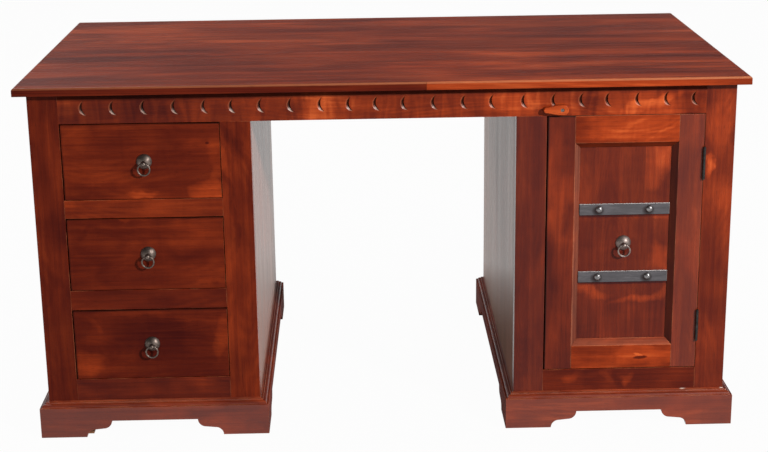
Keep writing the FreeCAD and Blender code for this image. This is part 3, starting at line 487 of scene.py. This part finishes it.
def paint_splay_light_and_shade(wood, colour):
    """Colour of a framed piece, with a painted highlight on its lit splays and painted shade on the
    others.
    """
    painted_light = wood.spread(wood.streaks, *MIDDLE_RANGE, *LIT_SHARES)
    colour = wood.cover(colour, wood.times(find_splays(wood, LIT), painted_light), SPLAY_HIGHLIGHT)
    return wood.cover(colour, wood.times(find_splays(wood, UNLIT), UNLIT_SHARE), PAINTED_SHADE)


# Crescents: depths over which the cut starts and their painted shade gathers, how worn the cut is
# and how dark that painted shade is
CUT, CUT_SHARE = (0.1 * MM, 0.3 * MM), 0.25
CREVICE_SHADE, CREVICE_SHADE_SHARE = (0.9 * MM, 1.7 * MM), 0.9

# How far a crescent's wall faces up and right where it gets a painted highlight, and how much of
# the painted shade is left there; how strong the painted highlight is in patches, and from the left
# to the right along the desk
FACING_UP = (0.16, 0.42)
FACING_RIGHT = (0.12, 0.40)
CREVICE_SHADE_ON_LIT_WALL = 0.35
HIGHLIGHT_PATCH_SHARES = (0.5, 1.0)
HIGHLIGHT_STRETCH, HIGHLIGHT_STRETCH_SHARES = (-0.5, 0.3), (1.0, 0.4)

# Painted shade in a band under the worktop: how far below the top it starts and is full, and how
# dark it is
SHADE_START, SHADE_FULL = 34 * MM, 29 * MM
SHADE_SHARE = 0.75


def paint_carving_wear_and_light(wood, colour):
    """Colour of the carved rail. The cuts are worn lighter; a painted highlight lies where a
    crescent's steep wall faces up and right, and painted shade in its deep part and in a band under
    the worktop."""
    depth = wood.minus(wood.place("Y"), FRONT)
    cut = wood.spread(depth, *CUT)
    rising = wood.times(wood.spread(wood.facing("Z"), *FACING_UP),
                        wood.spread(wood.facing("X"), *FACING_RIGHT))
    patches = wood.spread(wood.noise(*HIGHLIGHT_PLACES), *NARROW_RANGE, *HIGHLIGHT_PATCH_SHARES)
    painted_light = wood.times(
        patches, wood.spread(wood.place("X"), *HIGHLIGHT_STRETCH, *HIGHLIGHT_STRETCH_SHARES))
    colour = wood.cover(colour, wood.times(cut, CUT_SHARE), WORN)
    # Painted highlight where a steep wall faces up and right
    colour = wood.cover(colour, wood.times(cut, rising, painted_light), PAINTED_GLINT)
    # Painted shade in the deep part, less where the wall faces up and right
    crevice_shade = wood.times(wood.spread(depth, *CREVICE_SHADE, 0, CREVICE_SHADE_SHARE),
                      wood.spread(rising, 0, 1, 1, CREVICE_SHADE_ON_LIT_WALL))
    colour = wood.cover(colour, crevice_shade, PORE_AND_SHADE)
    # Painted shade in a band under the worktop
    shade = wood.spread(wood.place("Z"), TOP - SHADE_START, TOP - SHADE_FULL, 0, SHADE_SHARE)
    return wood.cover(colour, shade, PAINTED_SHADE)


def lacquer(wood, look, lightness, name, edge):
    """Colour of lacquered wood, with its marks and wear, and with painted highlights and painted
    shade.
    """
    warmth = draw_warmth(wood, look)
    lightness, warmth = add_marks(wood, look, lightness, warmth)
    if look.lipped:
        lightness, warmth = join_lip(wood, lightness, warmth)
    lightness = wood.clamped(lightness)
    colour = wood.cover(
        wood.ramp(lightness, BROWN), wood.clamped(warmth), wood.ramp(lightness, ORANGE))
    if edge:
        worn = wood.spread(wood.noise(*WORN_PLACES), *NARROW_RANGE)
        colour = wood.cover(colour, wood.times(worn, edge), WORN)
    if look.gapped:
        colour = paint_gap_shade(wood, colour, name, edge)
    if look.framed:
        colour = paint_splay_light_and_shade(wood, colour)
    # Painted reflection: a pale wash over the colour, for the pale reflection on the kneehole sides
    if look.painted_reflection:
        colour = wood.cover(colour, look.painted_reflection, PALE_REFLECTION)
    if look.carved:
        colour = paint_carving_wear_and_light(wood, colour)
    if look.lipped:
        colour = colour_lip(wood, colour)
    for chip in look.chips:
        colour = wood.cover(colour, wood.spot(wood.origin, chip, "XY"), BARE)
    return colour


def make_wood(name, grain, seed, look, edge=0.0, raw=False):
    """Wood of a node, whose grain runs along an axis. Edge is the wear of its rounded edges, and 0
    for its faces."""
    material, tree, shader = new_material(f"wood_{name}_edge" if edge else f"wood_{name}")
    wood = Wood(tree, grain, seed, look.reach)
    lightness = draw_figure(wood, look, edge)
    if raw:
        colour = wood.ramp(wood.clamped(lightness), RAW)
    else:
        colour = lacquer(wood, look, lightness, name, edge)
    pores = wood.spread(wood.noise(*FLECKS), *PORE_RANGE)
    wood.feed(shader, "Base Color", wood.cover(colour, wood.times(pores, PORE_SHARE), PORE_AND_SHADE))

    height = wood.plus(wood.times(wood.streaks, STREAK_RELIEF),
                       wood.times(wood.fibres, FIBRE_RELIEF))
    height = wood.minus(height, wood.times(pores, PORE_RELIEF))
    bump = wood.add("Bump", {"Height": height, "Strength": RAW_BUMP if raw else LACQUER_BUMP,
                             "Distance": BUMP_DISTANCE})
    if look.cupping:
        bow = wood.add("Bump", {"Height": wood.noise(*BOWS), "Distance": look.cupping * MM})
        wood.feed(bump, "Normal", bow.outputs[0])
    wood.feed(shader, "Normal", bump.outputs[0])

    roughness = wood.spread(
        wood.streaks, *WIDE_RANGE, *(RAW_ROUGHNESS if raw else LACQUER_ROUGHNESS))
    if look.dull:
        start, depth, slope, dull_roughness = look.dull
        level = wood.plus(wood.place("Z"), wood.times(wood.place("Y"), slope))
        roughness = wood.blend(roughness, wood.spread(level, start, start - depth), dull_roughness)
    if look.framed:
        roughness = wood.blend(roughness, find_splays(wood, UNLIT), UNLIT_ROUGHNESS)
    wood.feed(shader, "Roughness", roughness)
    wood.feed(shader, "Specular IOR Level", RAW_GLOSS if raw else look.gloss)
    if look.waxed:
        wood.feed(shader, "Sheen Weight", look.waxed)
        wood.feed(shader, "Sheen Roughness", WAX_ROUGHNESS)
        wood.feed(shader, "Sheen Tint", WAX)
    return material


# Lacquered wood of each node: grain, seed and look
WOODS = {
    "desk_top": ("X", 3, Look(
        tone=0.17, figure=1.4, reach=2.2, gloss=0.05, planks=0.114, lipped=True, face="XY", marks=(
            (0.420, -0.120, 0.260, 0.030, 0, 0.10, 0.30),
            (0.250, -0.230, 0.300, 0.022, 1, 0.10, 0.25),
            (-0.450, -0.050, 0.200, 0.026, 0, 0.10, 0.30),
            (-0.200, 0.180, 0.300, 0.040, 0, 0.05, 0.15),
            (-0.100, -0.180, 0.350, 0.030, 0, -0.10, 0.00),
            (0.450, 0.250, 0.200, 0.080, 0, -0.12, -0.15)))),
    "front_apron": ("X", 11, Look(
        tone=0.10, warmth=0.10, warmth_end=0.85, ripple=0.34, gloss=0.1,
        dull=(0.733, -0.005, 0, 0.85), carved=True, marks=(
            (-0.470, 0.715, 0.200, 0.060, 0, -0.24, 0.0),
            (-0.134, 0.717, 0.034, 0.040, 0, 0.30, 0.70),
            (-0.272, 0.719, 0.020, 0.040, 0, 0.12, 0.40),
            (0.270, 0.716, 0.050, 0.040, 0, 0.25, 0.60),
            (0.547, 0.709, 0.060, 0.011, 14, 0.30, 0.60),
            (0.424, 0.713, 0.030, 0.040, 0, -0.15, -0.30),
            (0.640, 0.709, 0.030, 0.040, 0, -0.12, -0.40)))),
    "rear_apron": ("X", 5, Look()),
    "left_outer_post": ("Z", 21, Look(tone=-0.08, warmth=0.15)),
    "left_inner_post": ("Z", 22, Look(warmth=0.3, marks=(
        (-0.312, 0.640, 0.010, 0.060, 32, -0.30, 0.0),
        (-0.330, 0.600, 0.012, 0.040, 25, 0.18, 0.4),
        (-0.318, 0.480, 0.008, 0.110, 3, -0.20, 0.0)))),
    "right_inner_post": ("Z", 23, Look(tone=-0.15, warmth=0.0, gloss=0.2)),
    "right_outer_post": ("Z", 24, Look(tone=0.02, gloss=0.13, marks=(
        (0.693, 0.680, 0.022, 0.070, 0, 0.12, 0.55),
        (0.673, 0.579, 0.008, 0.034, 0, 0.45, 0.90),
        (0.700, 0.520, 0.030, 0.030, 10, 0.05, 0.30)))),
    "left_outer_side": ("Z", 31, Look()),
    "left_inner_side": ("Z", 32, Look(
        tone=0.04, warmth=0.4, gloss=0.29, cupping=8.0, painted_reflection=0.25, waxed=0.25,
        dull=(0.28, 0.18, 0.32, 0.45), face="YZ", marks=(
            (0.060, 0.620, 0.050, 0.160, 0, -0.5, -0.5),
            (0.250, 0.600, 0.060, 0.260, 0, -0.6, -0.5),
            (-0.100, 0.680, 0.040, 0.100, 0, -0.3, -0.3),
            (0.000, 0.230, 0.400, 0.060, -18, -0.4, 0.2)))),
    "right_inner_side": ("Z", 33, Look(
        warmth=0.2, gloss=0.11, cupping=8.0, painted_reflection=0.25, waxed=0.25,
        dull=(0.24, 0.18, 0.32, 0.80), face="YZ", marks=(
            (0.000, 0.600, 0.040, 0.180, 0, -0.5, -0.2),
            (-0.200, 0.640, 0.030, 0.120, 0, -0.4, -0.2),
            (0.200, 0.450, 0.030, 0.250, 0, -0.3, -0.2),
            (0.000, 0.130, 0.500, 0.120, -18, -0.4, -0.1)))),
    "right_outer_side": ("Z", 34, Look(warmth=0.4)),
    "back_panels": ("Z", 35, Look()),
    "bottom_rails": ("X", 36, Look(tone=-0.20, gloss=0.09, marks=(
        (0.397, 0.111, 0.026, 0.012, 0, 0.12, 0.70),
        (0.512, 0.107, 0.008, 0.020, -20, 0.22, 0.50),
        (0.470, 0.110, 0.010, 0.020, 20, 0.14, 0.20),
        (0.492, 0.105, 0.008, 0.030, 0, -0.18, 0.0)))),
    "drawer_rails": ("X", 37, Look(warmth=0.2, marks=(
        (-0.500, 0.505, 0.300, 0.040, 0, 0.10, 0.2),
        (-0.500, 0.305, 0.300, 0.040, 0, -0.20, 0.0)))),
    "top_drawer_front": ("X", 41, Look(
        figure=0.8, gloss=0.05, gapped=True, marks=(
            (-0.561, 0.643, 0.075, 0.035, 0, -0.12, -0.10),
            (-0.416, 0.659, 0.055, 0.020, 0, -0.10, 0.00),
            (-0.362, 0.541, 0.032, 0.020, 0, 0.24, 0.80),
            (-0.634, 0.660, 0.032, 0.026, 0, 0.10, 0.30),
            (-0.349, 0.603, 0.012, 0.060, 0, 0.10, 0.30),
            (-0.561, 0.551, 0.090, 0.020, 0, -0.10, 0.00),
            (-0.497, 0.533, 0.032, 0.006, 0, 0.12, 0.40)), knots_and_shadow_lines=(
            (-0.363, 0.643, 0.0035, 0.0025, 0, -0.9, 0.0),))),
    "middle_drawer_front": ("X", 42, Look(
        tone=-0.07, warmth=0.2, figure=0.7, gloss=0.05, gapped=True, marks=(
            (-0.396, 0.449, 0.065, 0.032, 0, 0.13, 0.25),
            (-0.607, 0.368, 0.080, 0.030, 0, -0.17, 0.00),
            (-0.535, 0.481, 0.060, 0.005, 0, 0.14, 0.50),
            (-0.627, 0.459, 0.030, 0.008, 25, -0.12, 0.00),
            (-0.370, 0.342, 0.030, 0.008, 4, 0.10, 0.30)))),
    "bottom_drawer_front": ("X", 43, Look(
        tone=-0.12, warmth=0.1, figure=0.6, gloss=0.05, gapped=True, marks=(
            (-0.488, 0.223, 0.105, 0.050, 0, -0.26, -0.10),
            (-0.640, 0.165, 0.028, 0.032, 0, 0.24, 0.45),
            (-0.349, 0.225, 0.016, 0.050, 0, 0.16, 0.30),
            (-0.500, 0.275, 0.120, 0.011, 0, 0.10, 0.10),
            (-0.614, 0.247, 0.025, 0.006, -40, 0.12, 0.10)))),
    "door_left_stile": ("Z", 51, Look(
        tone=-0.15, warmth=0.3, gloss=0.16, gapped=True, framed=True, marks=(
            (0.360, 0.540, 0.026, 0.130, 2, 0.14, 0.55),
            (0.379, 0.160, 0.018, 0.080, 0, -0.20, -0.10)))),
    "door_right_stile": ("Z", 52, Look(tone=0.18, warmth=0.05, gloss=0.3, framed=True)),
    "door_top_rail": ("X", 53, Look(
        tone=0.03, warmth=0.85, ripple=0.12, framed=True, marks=(
            (0.545, 0.652, 0.110, 0.045, 0, 0.14, 0.40),
            (0.500, 0.665, 0.060, 0.006, 28, 0.12, 0.20),
            (0.575, 0.650, 0.050, 0.005, 35, 0.14, 0.20),
            (0.400, 0.655, 0.035, 0.040, 0, -0.10, -0.30)))),
    "door_bottom_rail": ("X", 54, Look(
        warmth=0.65, framed=True, marks=(
            (0.556, 0.153, 0.060, 0.024, 0, 0.28, 0.60),
            (0.440, 0.150, 0.040, 0.012, 6, -0.12, 0.0)), knots_and_shadow_lines=(
            (0.545, 0.1515, 0.014, 0.0035, 4, -1.2, 0.0),
            (0.541, 0.1575, 0.010, 0.0030, -20, 0.5, 0.5)))),
    "door_panel": ("Z", 55, Look(
        tone=0.04, warmth=0.0, ripple=0.08, gloss=0.17, marks=(
            (0.577, 0.590, 0.030, 0.060, -20, 0.16, 0.80),
            (0.583, 0.365, 0.028, 0.036, 10, 0.20, 0.90),
            (0.560, 0.475, 0.060, 0.014, 0, 0.10, 0.55),
            (0.428, 0.300, 0.050, 0.012, -6, 0.16, 0.65),
            (0.545, 0.287, 0.070, 0.010, 14, 0.18, 0.60),
            (0.490, 0.235, 0.130, 0.062, 0, -0.42, 0.6)), knots_and_shadow_lines=(
            # Painted shadows: thin dark lines on the panel just under each strap
            (0.502, 0.4660, 0.125, 0.0028, 0, -0.6, 0.0),
            (0.502, 0.3170, 0.125, 0.0028, 0, -0.6, 0.0)))),
    "latch_button": ("X", 61, Look(tone=0.25, warmth=0.8)),
}

# Plinth boards of both pedestals: grain, and how they differ
PLINTHS = {
    "front": ("X", {"tone": 0.22, "gloss": 0.5}),
    "back": ("X", {"gloss": 0.28}),
    "inner": ("Y", {"gloss": 0.28, "dull": (0.070, 0.003, 0, 0.95)}),
    "outer": ("Y", {"gloss": 0.28}),
}
PLINTH_SEED = 70
for side in ("left", "right"):
    for place, (grain, differences) in PLINTHS.items():
        seed = PLINTH_SEED + len(WOODS)
        WOODS[f"{side}_{place}_plinth"] = (grain, seed, Look(warmth=0.1, **differences))
WOODS["right_front_plinth"][2].chips = (
    (0.6393, -0.3755, 0.0060, 0.0016, 4), (0.7254, -0.3756, 0.0060, 0.0016, 4))

# Grain of nodes inside the desk, which are left bare
RAW_WOODS = {"drawer_runners": "Y", "cupboard_shelf": "X", "cleats": "Y", "foot_blocks": "Z",
             "floor_boards": "Y"}
for level in ("top", "middle", "bottom"):
    for piece, grain in (("sides", "Y"), ("back", "X"), ("bottom", "Y")):
        RAW_WOODS[f"{level}_drawer_{piece}"] = grain
FIRST_RAW_SEED = 100

# Rounded edges: wear, how near points and how flat faces are joined first, the angle from which an
# edge is rounded, and the width of the rounding for each kind of piece
WORN_EDGE = 0.5
WELD_DISTANCE = 0.01 * MM
FLAT_ANGLE = math.radians(0.5)
ROUNDED_ANGLE = math.radians(28)
FRAME_ROUNDING = 0.6 * MM
LEAF_ROUNDING = 1.0 * MM
STRAP_ROUNDING = 0.9 * MM
LEAVES = ("drawer_front", "door_left_stile", "door_right_stile", "door_top_rail",
          "door_bottom_rail")

# Carved edges stay crisp. Runners and their guides meet face to face, so welding would join them.
NOT_ROUNDED = ("front_apron", "drawer_runners")


def round_edges(item, width):
    """Soften a node's edges. The rounding takes the item's second material."""
    weld = item.modifiers.new("weld", "WELD")
    weld.merge_threshold = WELD_DISTANCE
    planar = item.modifiers.new("planar", "DECIMATE")
    planar.decimate_type = "DISSOLVE"
    planar.angle_limit = FLAT_ANGLE
    bevel = item.modifiers.new("rounding", "BEVEL")
    bevel.width = width
    bevel.segments = 2
    bevel.limit_method = "ANGLE"
    bevel.angle_limit = ROUNDED_ANGLE
    bevel.material = 1
    normals = item.modifiers.new("normals", "WEIGHTED_NORMAL")
    normals.keep_sharp = True


def dress(item, *materials):
    """Give a node its materials in place of the packed one."""
    item.data.materials.clear()
    for material in materials:
        item.data.materials.append(material)


for name, (grain, seed, look) in WOODS.items():
    dress(nodes[name], make_wood(name, grain, seed, look),
          make_wood(name, grain, seed, look, edge=WORN_EDGE))
    if name not in NOT_ROUNDED:
        round_edges(nodes[name], LEAF_ROUNDING if name.endswith(LEAVES) else FRAME_ROUNDING)

for seed, (name, grain) in enumerate(RAW_WOODS.items(), FIRST_RAW_SEED):
    material = make_wood(name, grain, seed, Look(), raw=True)
    dress(nodes[name], material, material)
    if name not in NOT_ROUNDED:
        round_edges(nodes[name], FRAME_ROUNDING)


# Iron

# Colour of the painted highlight on iron
IRON_HIGHLIGHT = (0.55, 0.52, 0.50, 1)

# Relief of iron: its hammer marks and its fine grain, and the bump that it gives
DENT_RELIEF = 0.6
GRAIN_RELIEF = 0.4
GRAIN_SCALE = 900.0
IRON_BUMP = 0.3
IRON_BUMP_DISTANCE = 0.6 * MM

# How much rougher than its usual roughness iron is in its low spots, and how much smoother in its
# high ones
ROUGHER, SMOOTHER = 0.08, 0.06

# Dark patches of lit iron, how far the faces that get a painted highlight face up or right, and how
# dark a painted shadow is
PATCH_SCALE = 22.0
PATCH_RANGE, PATCH_SHARE = (0.40, 0.65), 0.5
FACING_LIGHT = (0.2, 0.5)
STUD_SHADOW_SHARE = 0.9


def make_iron(name, colour, roughness, hammer, brushed=1.0, contrast=1.6, lit=False, painted_shadows=()):
    """Dark forged iron with hammer marks of a size, drawn out along X where it is brushed. Contrast
    is how many times lighter its high spots are, and darker its low ones. Where it is lit, faces
    turned up or right get a painted highlight, and those turned down or left get painted shade.
    Painted shadows are dark ovals in front."""
    material, tree, shader = new_material(name)
    graph = Graph(tree)
    texture = graph.add("TexCoord").outputs
    origin = texture["Object"]
    drawn = graph.add("Mapping", {"Vector": origin, "Scale": (1 / brushed, 1, 1)}).outputs[0]
    dents = graph.add("TexNoise", {"Vector": drawn, "Scale": 1 / hammer, "Detail": 2.0})
    grains = graph.add("TexNoise", {"Vector": drawn, "Scale": GRAIN_SCALE, "Detail": 3.0})
    height = graph.plus(graph.times(dents.outputs[0], DENT_RELIEF),
                        graph.times(grains.outputs[0], GRAIN_RELIEF))
    light = tuple(channel * contrast for channel in colour)
    dark = tuple(channel / contrast for channel in colour)
    tint = graph.ramp(graph.spread(height, *MIDDLE_RANGE), ((0, dark), (0.5, colour), (1, light)))
    if lit:
        patches = graph.add("TexNoise", {"Vector": origin, "Scale": PATCH_SCALE, "Detail": 1.0})
        darker = graph.spread(patches.outputs[0], *PATCH_RANGE, 0, PATCH_SHARE)
        tint = graph.cover(tint, darker, (*dark, 1))
        # Painted highlight on faces turned up or right, and painted shade on those turned down or
        # left
        facing = graph.add("SeparateXYZ", {"Vector": texture["Normal"]}).outputs
        rising = graph.plus(facing["Z"], facing["X"])
        start, full = FACING_LIGHT
        tint = graph.cover(tint, graph.spread(rising, start, full), IRON_HIGHLIGHT)
        tint = graph.cover(tint, graph.spread(rising, -start, -full), PORE_AND_SHADE)
    # Painted shadows: dark ovals on the front
    for painted_shadow in painted_shadows:
        tint = graph.cover(tint, graph.times(graph.spot(origin, painted_shadow, "XZ"), STUD_SHADOW_SHARE), PORE_AND_SHADE)
    graph.feed(shader, "Base Color", tint)
    graph.feed(shader, "Roughness", graph.spread(
        height, *MIDDLE_RANGE, roughness + ROUGHER, roughness - SMOOTHER))
    bump = graph.add("Bump", {"Height": height, "Strength": IRON_BUMP,
                              "Distance": IRON_BUMP_DISTANCE})
    graph.feed(shader, "Normal", bump.outputs[0])
    graph.feed(shader, "Metallic", 1.0)
    return material


# Painted shadow on the straps round each stud, a little to the left and below its middle
STUD_SHADOWS = tuple((x - 0.002, z - 0.001, 0.0115, 0.0105, 0)
                    for x in (0.4495, 0.5555) for z in (0.3303, 0.4793))

pull_iron = make_iron("iron_pull", (0.140, 0.108, 0.092), 0.45, 0.005, contrast=1.5)
door_pull_iron = make_iron("iron_door_pull", (0.225, 0.178, 0.160), 0.51, 0.005, contrast=1.4)
strap_iron = make_iron("iron_strap", (0.120, 0.112, 0.118), 0.42, 0.006, brushed=8.0, contrast=1.3,
                       lit=True, painted_shadows=STUD_SHADOWS)
stud_iron = make_iron("iron_stud", (0.21, 0.20, 0.20), 0.38, 0.005)
hinge_iron = make_iron("iron_hinge", (0.040, 0.036, 0.034), 0.50, 0.006)
steel = make_iron("steel_dull", (0.18, 0.165, 0.155), 0.42, 0.003)

for name, item in nodes.items():
    if name in ("door_pull", "door_ring"):
        dress(item, door_pull_iron)
    elif name.endswith(("_pull", "_ring")):
        dress(item, pull_iron)
    elif name.startswith("hinge"):
        dress(item, hinge_iron)
dress(nodes["door_straps"], strap_iron, strap_iron)
dress(nodes["door_studs"], stud_iron)
dress(nodes["latch_screw"], steel)
round_edges(nodes["door_straps"], STRAP_ROUNDING)


# Countersunk screws in the hinge leaves

# Axis and length of the door's hinges, and the gap between their leaves
HINGE_X = 0.6635
HINGE_LENGTH = 68 * MM
LEAF_GAP = 0.4 * MM

# Heads: radius, radius of the flat, width of the slot, and how far they stand proud of the leaf and
# reach into it
SCREW_RADIUS = 3.0 * MM
SCREW_FLAT_RADIUS = SCREW_RADIUS * 0.93
SCREW_SLOT = 0.9 * MM
SCREW_PROUD = 0.12 * MM
SCREW_SUNK = 0.05 * MM
ARC_STEPS = 24

# Share of the hinge's length, and distance behind the front, of each screw in a leaf; and how far
# each slot is turned from the one before
SCREW_PLACES = ((1 / 6, 8 * MM), (1 / 2, 14 * MM), (5 / 6, 8 * MM))
SCREW_TURN = 0.9


def screw_head(built, place, facing, turn):
    """Slotted flat head as two half discs, on a face towards +X or -X."""
    limit = math.asin(SCREW_SLOT / 2 / SCREW_RADIUS)
    for half in (0, math.pi):
        angles = [half + limit + (math.pi - 2 * limit) * step / ARC_STEPS
                  for step in range(ARC_STEPS + 1)]
        rows = []
        for radius, out in ((SCREW_RADIUS, -SCREW_SUNK), (SCREW_RADIUS, SCREW_PROUD / 2),
                            (SCREW_FLAT_RADIUS, SCREW_PROUD)):
            ring = []
            for angle in angles:
                y, z = radius * math.cos(angle), radius * math.sin(angle)
                z = math.copysign(max(abs(z), SCREW_SLOT / 2), z)
                swung = Matrix.Rotation(turn, 2) @ Vector((y, z))
                ring.append(built.verts.new(place + Vector((facing * out, swung.x, swung.y))))
            rows.append(ring)
        for lower, upper in zip(rows, rows[1:]):
            for number in range(len(lower)):
                after = (number + 1) % len(lower)
                built.faces.new((lower[number], lower[after], upper[after], upper[number]))
        built.faces.new(rows[-1])
        built.faces.new(rows[0][::-1])


# Nodes of leaves, with the body that carries them and the side that they face, 1 for right
SCREWED_LEAVES = (("hinge_post_leaves", "carcass", -1), ("hinge_door_leaves", "door", 1))


def make_hinge_screws():
    """Three screws in each leaf of both hinges; they show when the door stands open."""
    for name, body, facing in SCREWED_LEAVES:
        low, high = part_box(name)
        built = bmesh.new()
        face = HINGE_X - facing * LEAF_GAP / 2
        number = 0
        for start in (low[2], high[2] - HINGE_LENGTH):
            for share, inset in SCREW_PLACES:
                place = Vector((face, FRONT + inset, start + share * HINGE_LENGTH))
                number += 1
                screw_head(built, place, facing, number * SCREW_TURN)
        bmesh.ops.recalc_face_normals(built, faces=built.faces)
        mesh = bpy.data.meshes.new(f"{name}_screws")
        built.to_mesh(mesh)
        screws = bpy.data.objects.new(f"{name}_screws", mesh)
        bpy.context.scene.collection.objects.link(screws)
        mesh.materials.append(steel)
        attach(screws, body)


make_hinge_screws()


# Floor, background, lights and camera

def make_floor():
    """Pale floor under the desk, out past the picture's edges. The camera and reflections see it
    nearly white, with the desk's shadow."""
    mesh = bpy.data.meshes.new("floor")
    built = bmesh.new()
    bmesh.ops.create_grid(built, x_segments=1, y_segments=1, size=FLOOR_REACH)
    built.to_mesh(mesh)
    floor = bpy.data.objects.new("floor", mesh)
    bpy.context.scene.collection.objects.link(floor)
    material, tree, shader = new_material("floor_paper")
    graph = Graph(tree)
    graph.feed(shader, "Base Color", FLOOR_COLOUR)
    graph.feed(shader, "Roughness", FLOOR_ROUGHNESS)
    rays = graph.add("LightPath").outputs
    seen = graph.calculate("ADD", rays["Is Camera Ray"], rays["Is Glossy Ray"], clamp=True)
    glow = graph.add("Emission", {"Color": WHITE, "Strength": 1.0})
    mixed = graph.add("MixShader", {0: graph.times(seen, FLOOR_GLOW), 1: shader.outputs[0],
                                    2: glow.outputs[0]})
    graph.feed(tree.nodes["Material Output"], "Surface", mixed.outputs[0])
    mesh.materials.append(material)


def make_world():
    """Even light from all round. The camera sees white; reflections see white near the horizon and
    less overhead."""
    world = bpy.data.worlds.new("studio")
    bpy.context.scene.world = world
    world.use_nodes = True
    graph = Graph(world.node_tree)
    background = world.node_tree.nodes["Background"]
    rays = graph.add("LightPath").outputs
    direction = graph.add("TexCoord").outputs["Generated"]
    rise = graph.add("SeparateXYZ", {"Vector": direction}).outputs["Z"]
    seen = graph.calculate("ADD", rays["Is Camera Ray"], rays["Is Transmission Ray"], clamp=True)
    strength = graph.blend(graph.spread(rise, 0, 1, *AMBIENT), seen, 1.0)
    mirrored = graph.spread(rise, *MIRRORED_HORIZON, 1.0, MIRRORED_SKY)
    graph.feed(background, "Color", WHITE)
    graph.feed(background, "Strength", graph.blend(strength, rays["Is Glossy Ray"], mirrored))


def make_lamp(name, azimuth, elevation, distance, size, power):
    """Round soft lamp aimed at the middle of the desk's front."""
    data = bpy.data.lights.new(name, "AREA")
    data.shape = "DISK"
    data.size = size
    data.energy = power
    lamp = bpy.data.objects.new(name, data)
    bpy.context.scene.collection.objects.link(lamp)
    side, rise = math.radians(azimuth), math.radians(elevation)
    towards = Vector((math.sin(side) * math.cos(rise), -math.cos(side) * math.cos(rise),
                      math.sin(rise)))
    lamp.location = Vector((0, NEAR, TOP / 2)) + towards * distance
    lamp.rotation_euler = towards.to_track_quat("Z", "Y").to_euler()


def make_camera():
    """Camera at the picture's viewpoint."""
    data = bpy.data.cameras.new("camera")
    data.sensor_fit = "HORIZONTAL"
    data.sensor_width = SENSOR_WIDTH
    data.lens = FOCAL_PIXELS / PICTURE_WIDTH * SENSOR_WIDTH
    data.shift_x, data.shift_y = OPTICAL_AXIS_SHIFT
    camera = bpy.data.objects.new("camera", data)
    bpy.context.scene.collection.objects.link(camera)
    turn = (Matrix.Rotation(CAMERA_YAW, 4, "Z") @ Matrix.Rotation(CAMERA_PITCH, 4, "X")
            @ Matrix.Rotation(CAMERA_ROLL, 4, "Y"))
    level = Matrix.Rotation(math.pi / 2, 4, "X")
    camera.matrix_world = Matrix.Translation(CAMERA_PLACE) @ turn @ level
    bpy.context.scene.camera = camera


make_floor()
make_world()
make_lamp("key", *KEY_LAMP)
make_lamp("back", *BACK_LAMP)
make_camera()
bpy.context.scene.view_settings.view_transform = "Standard"
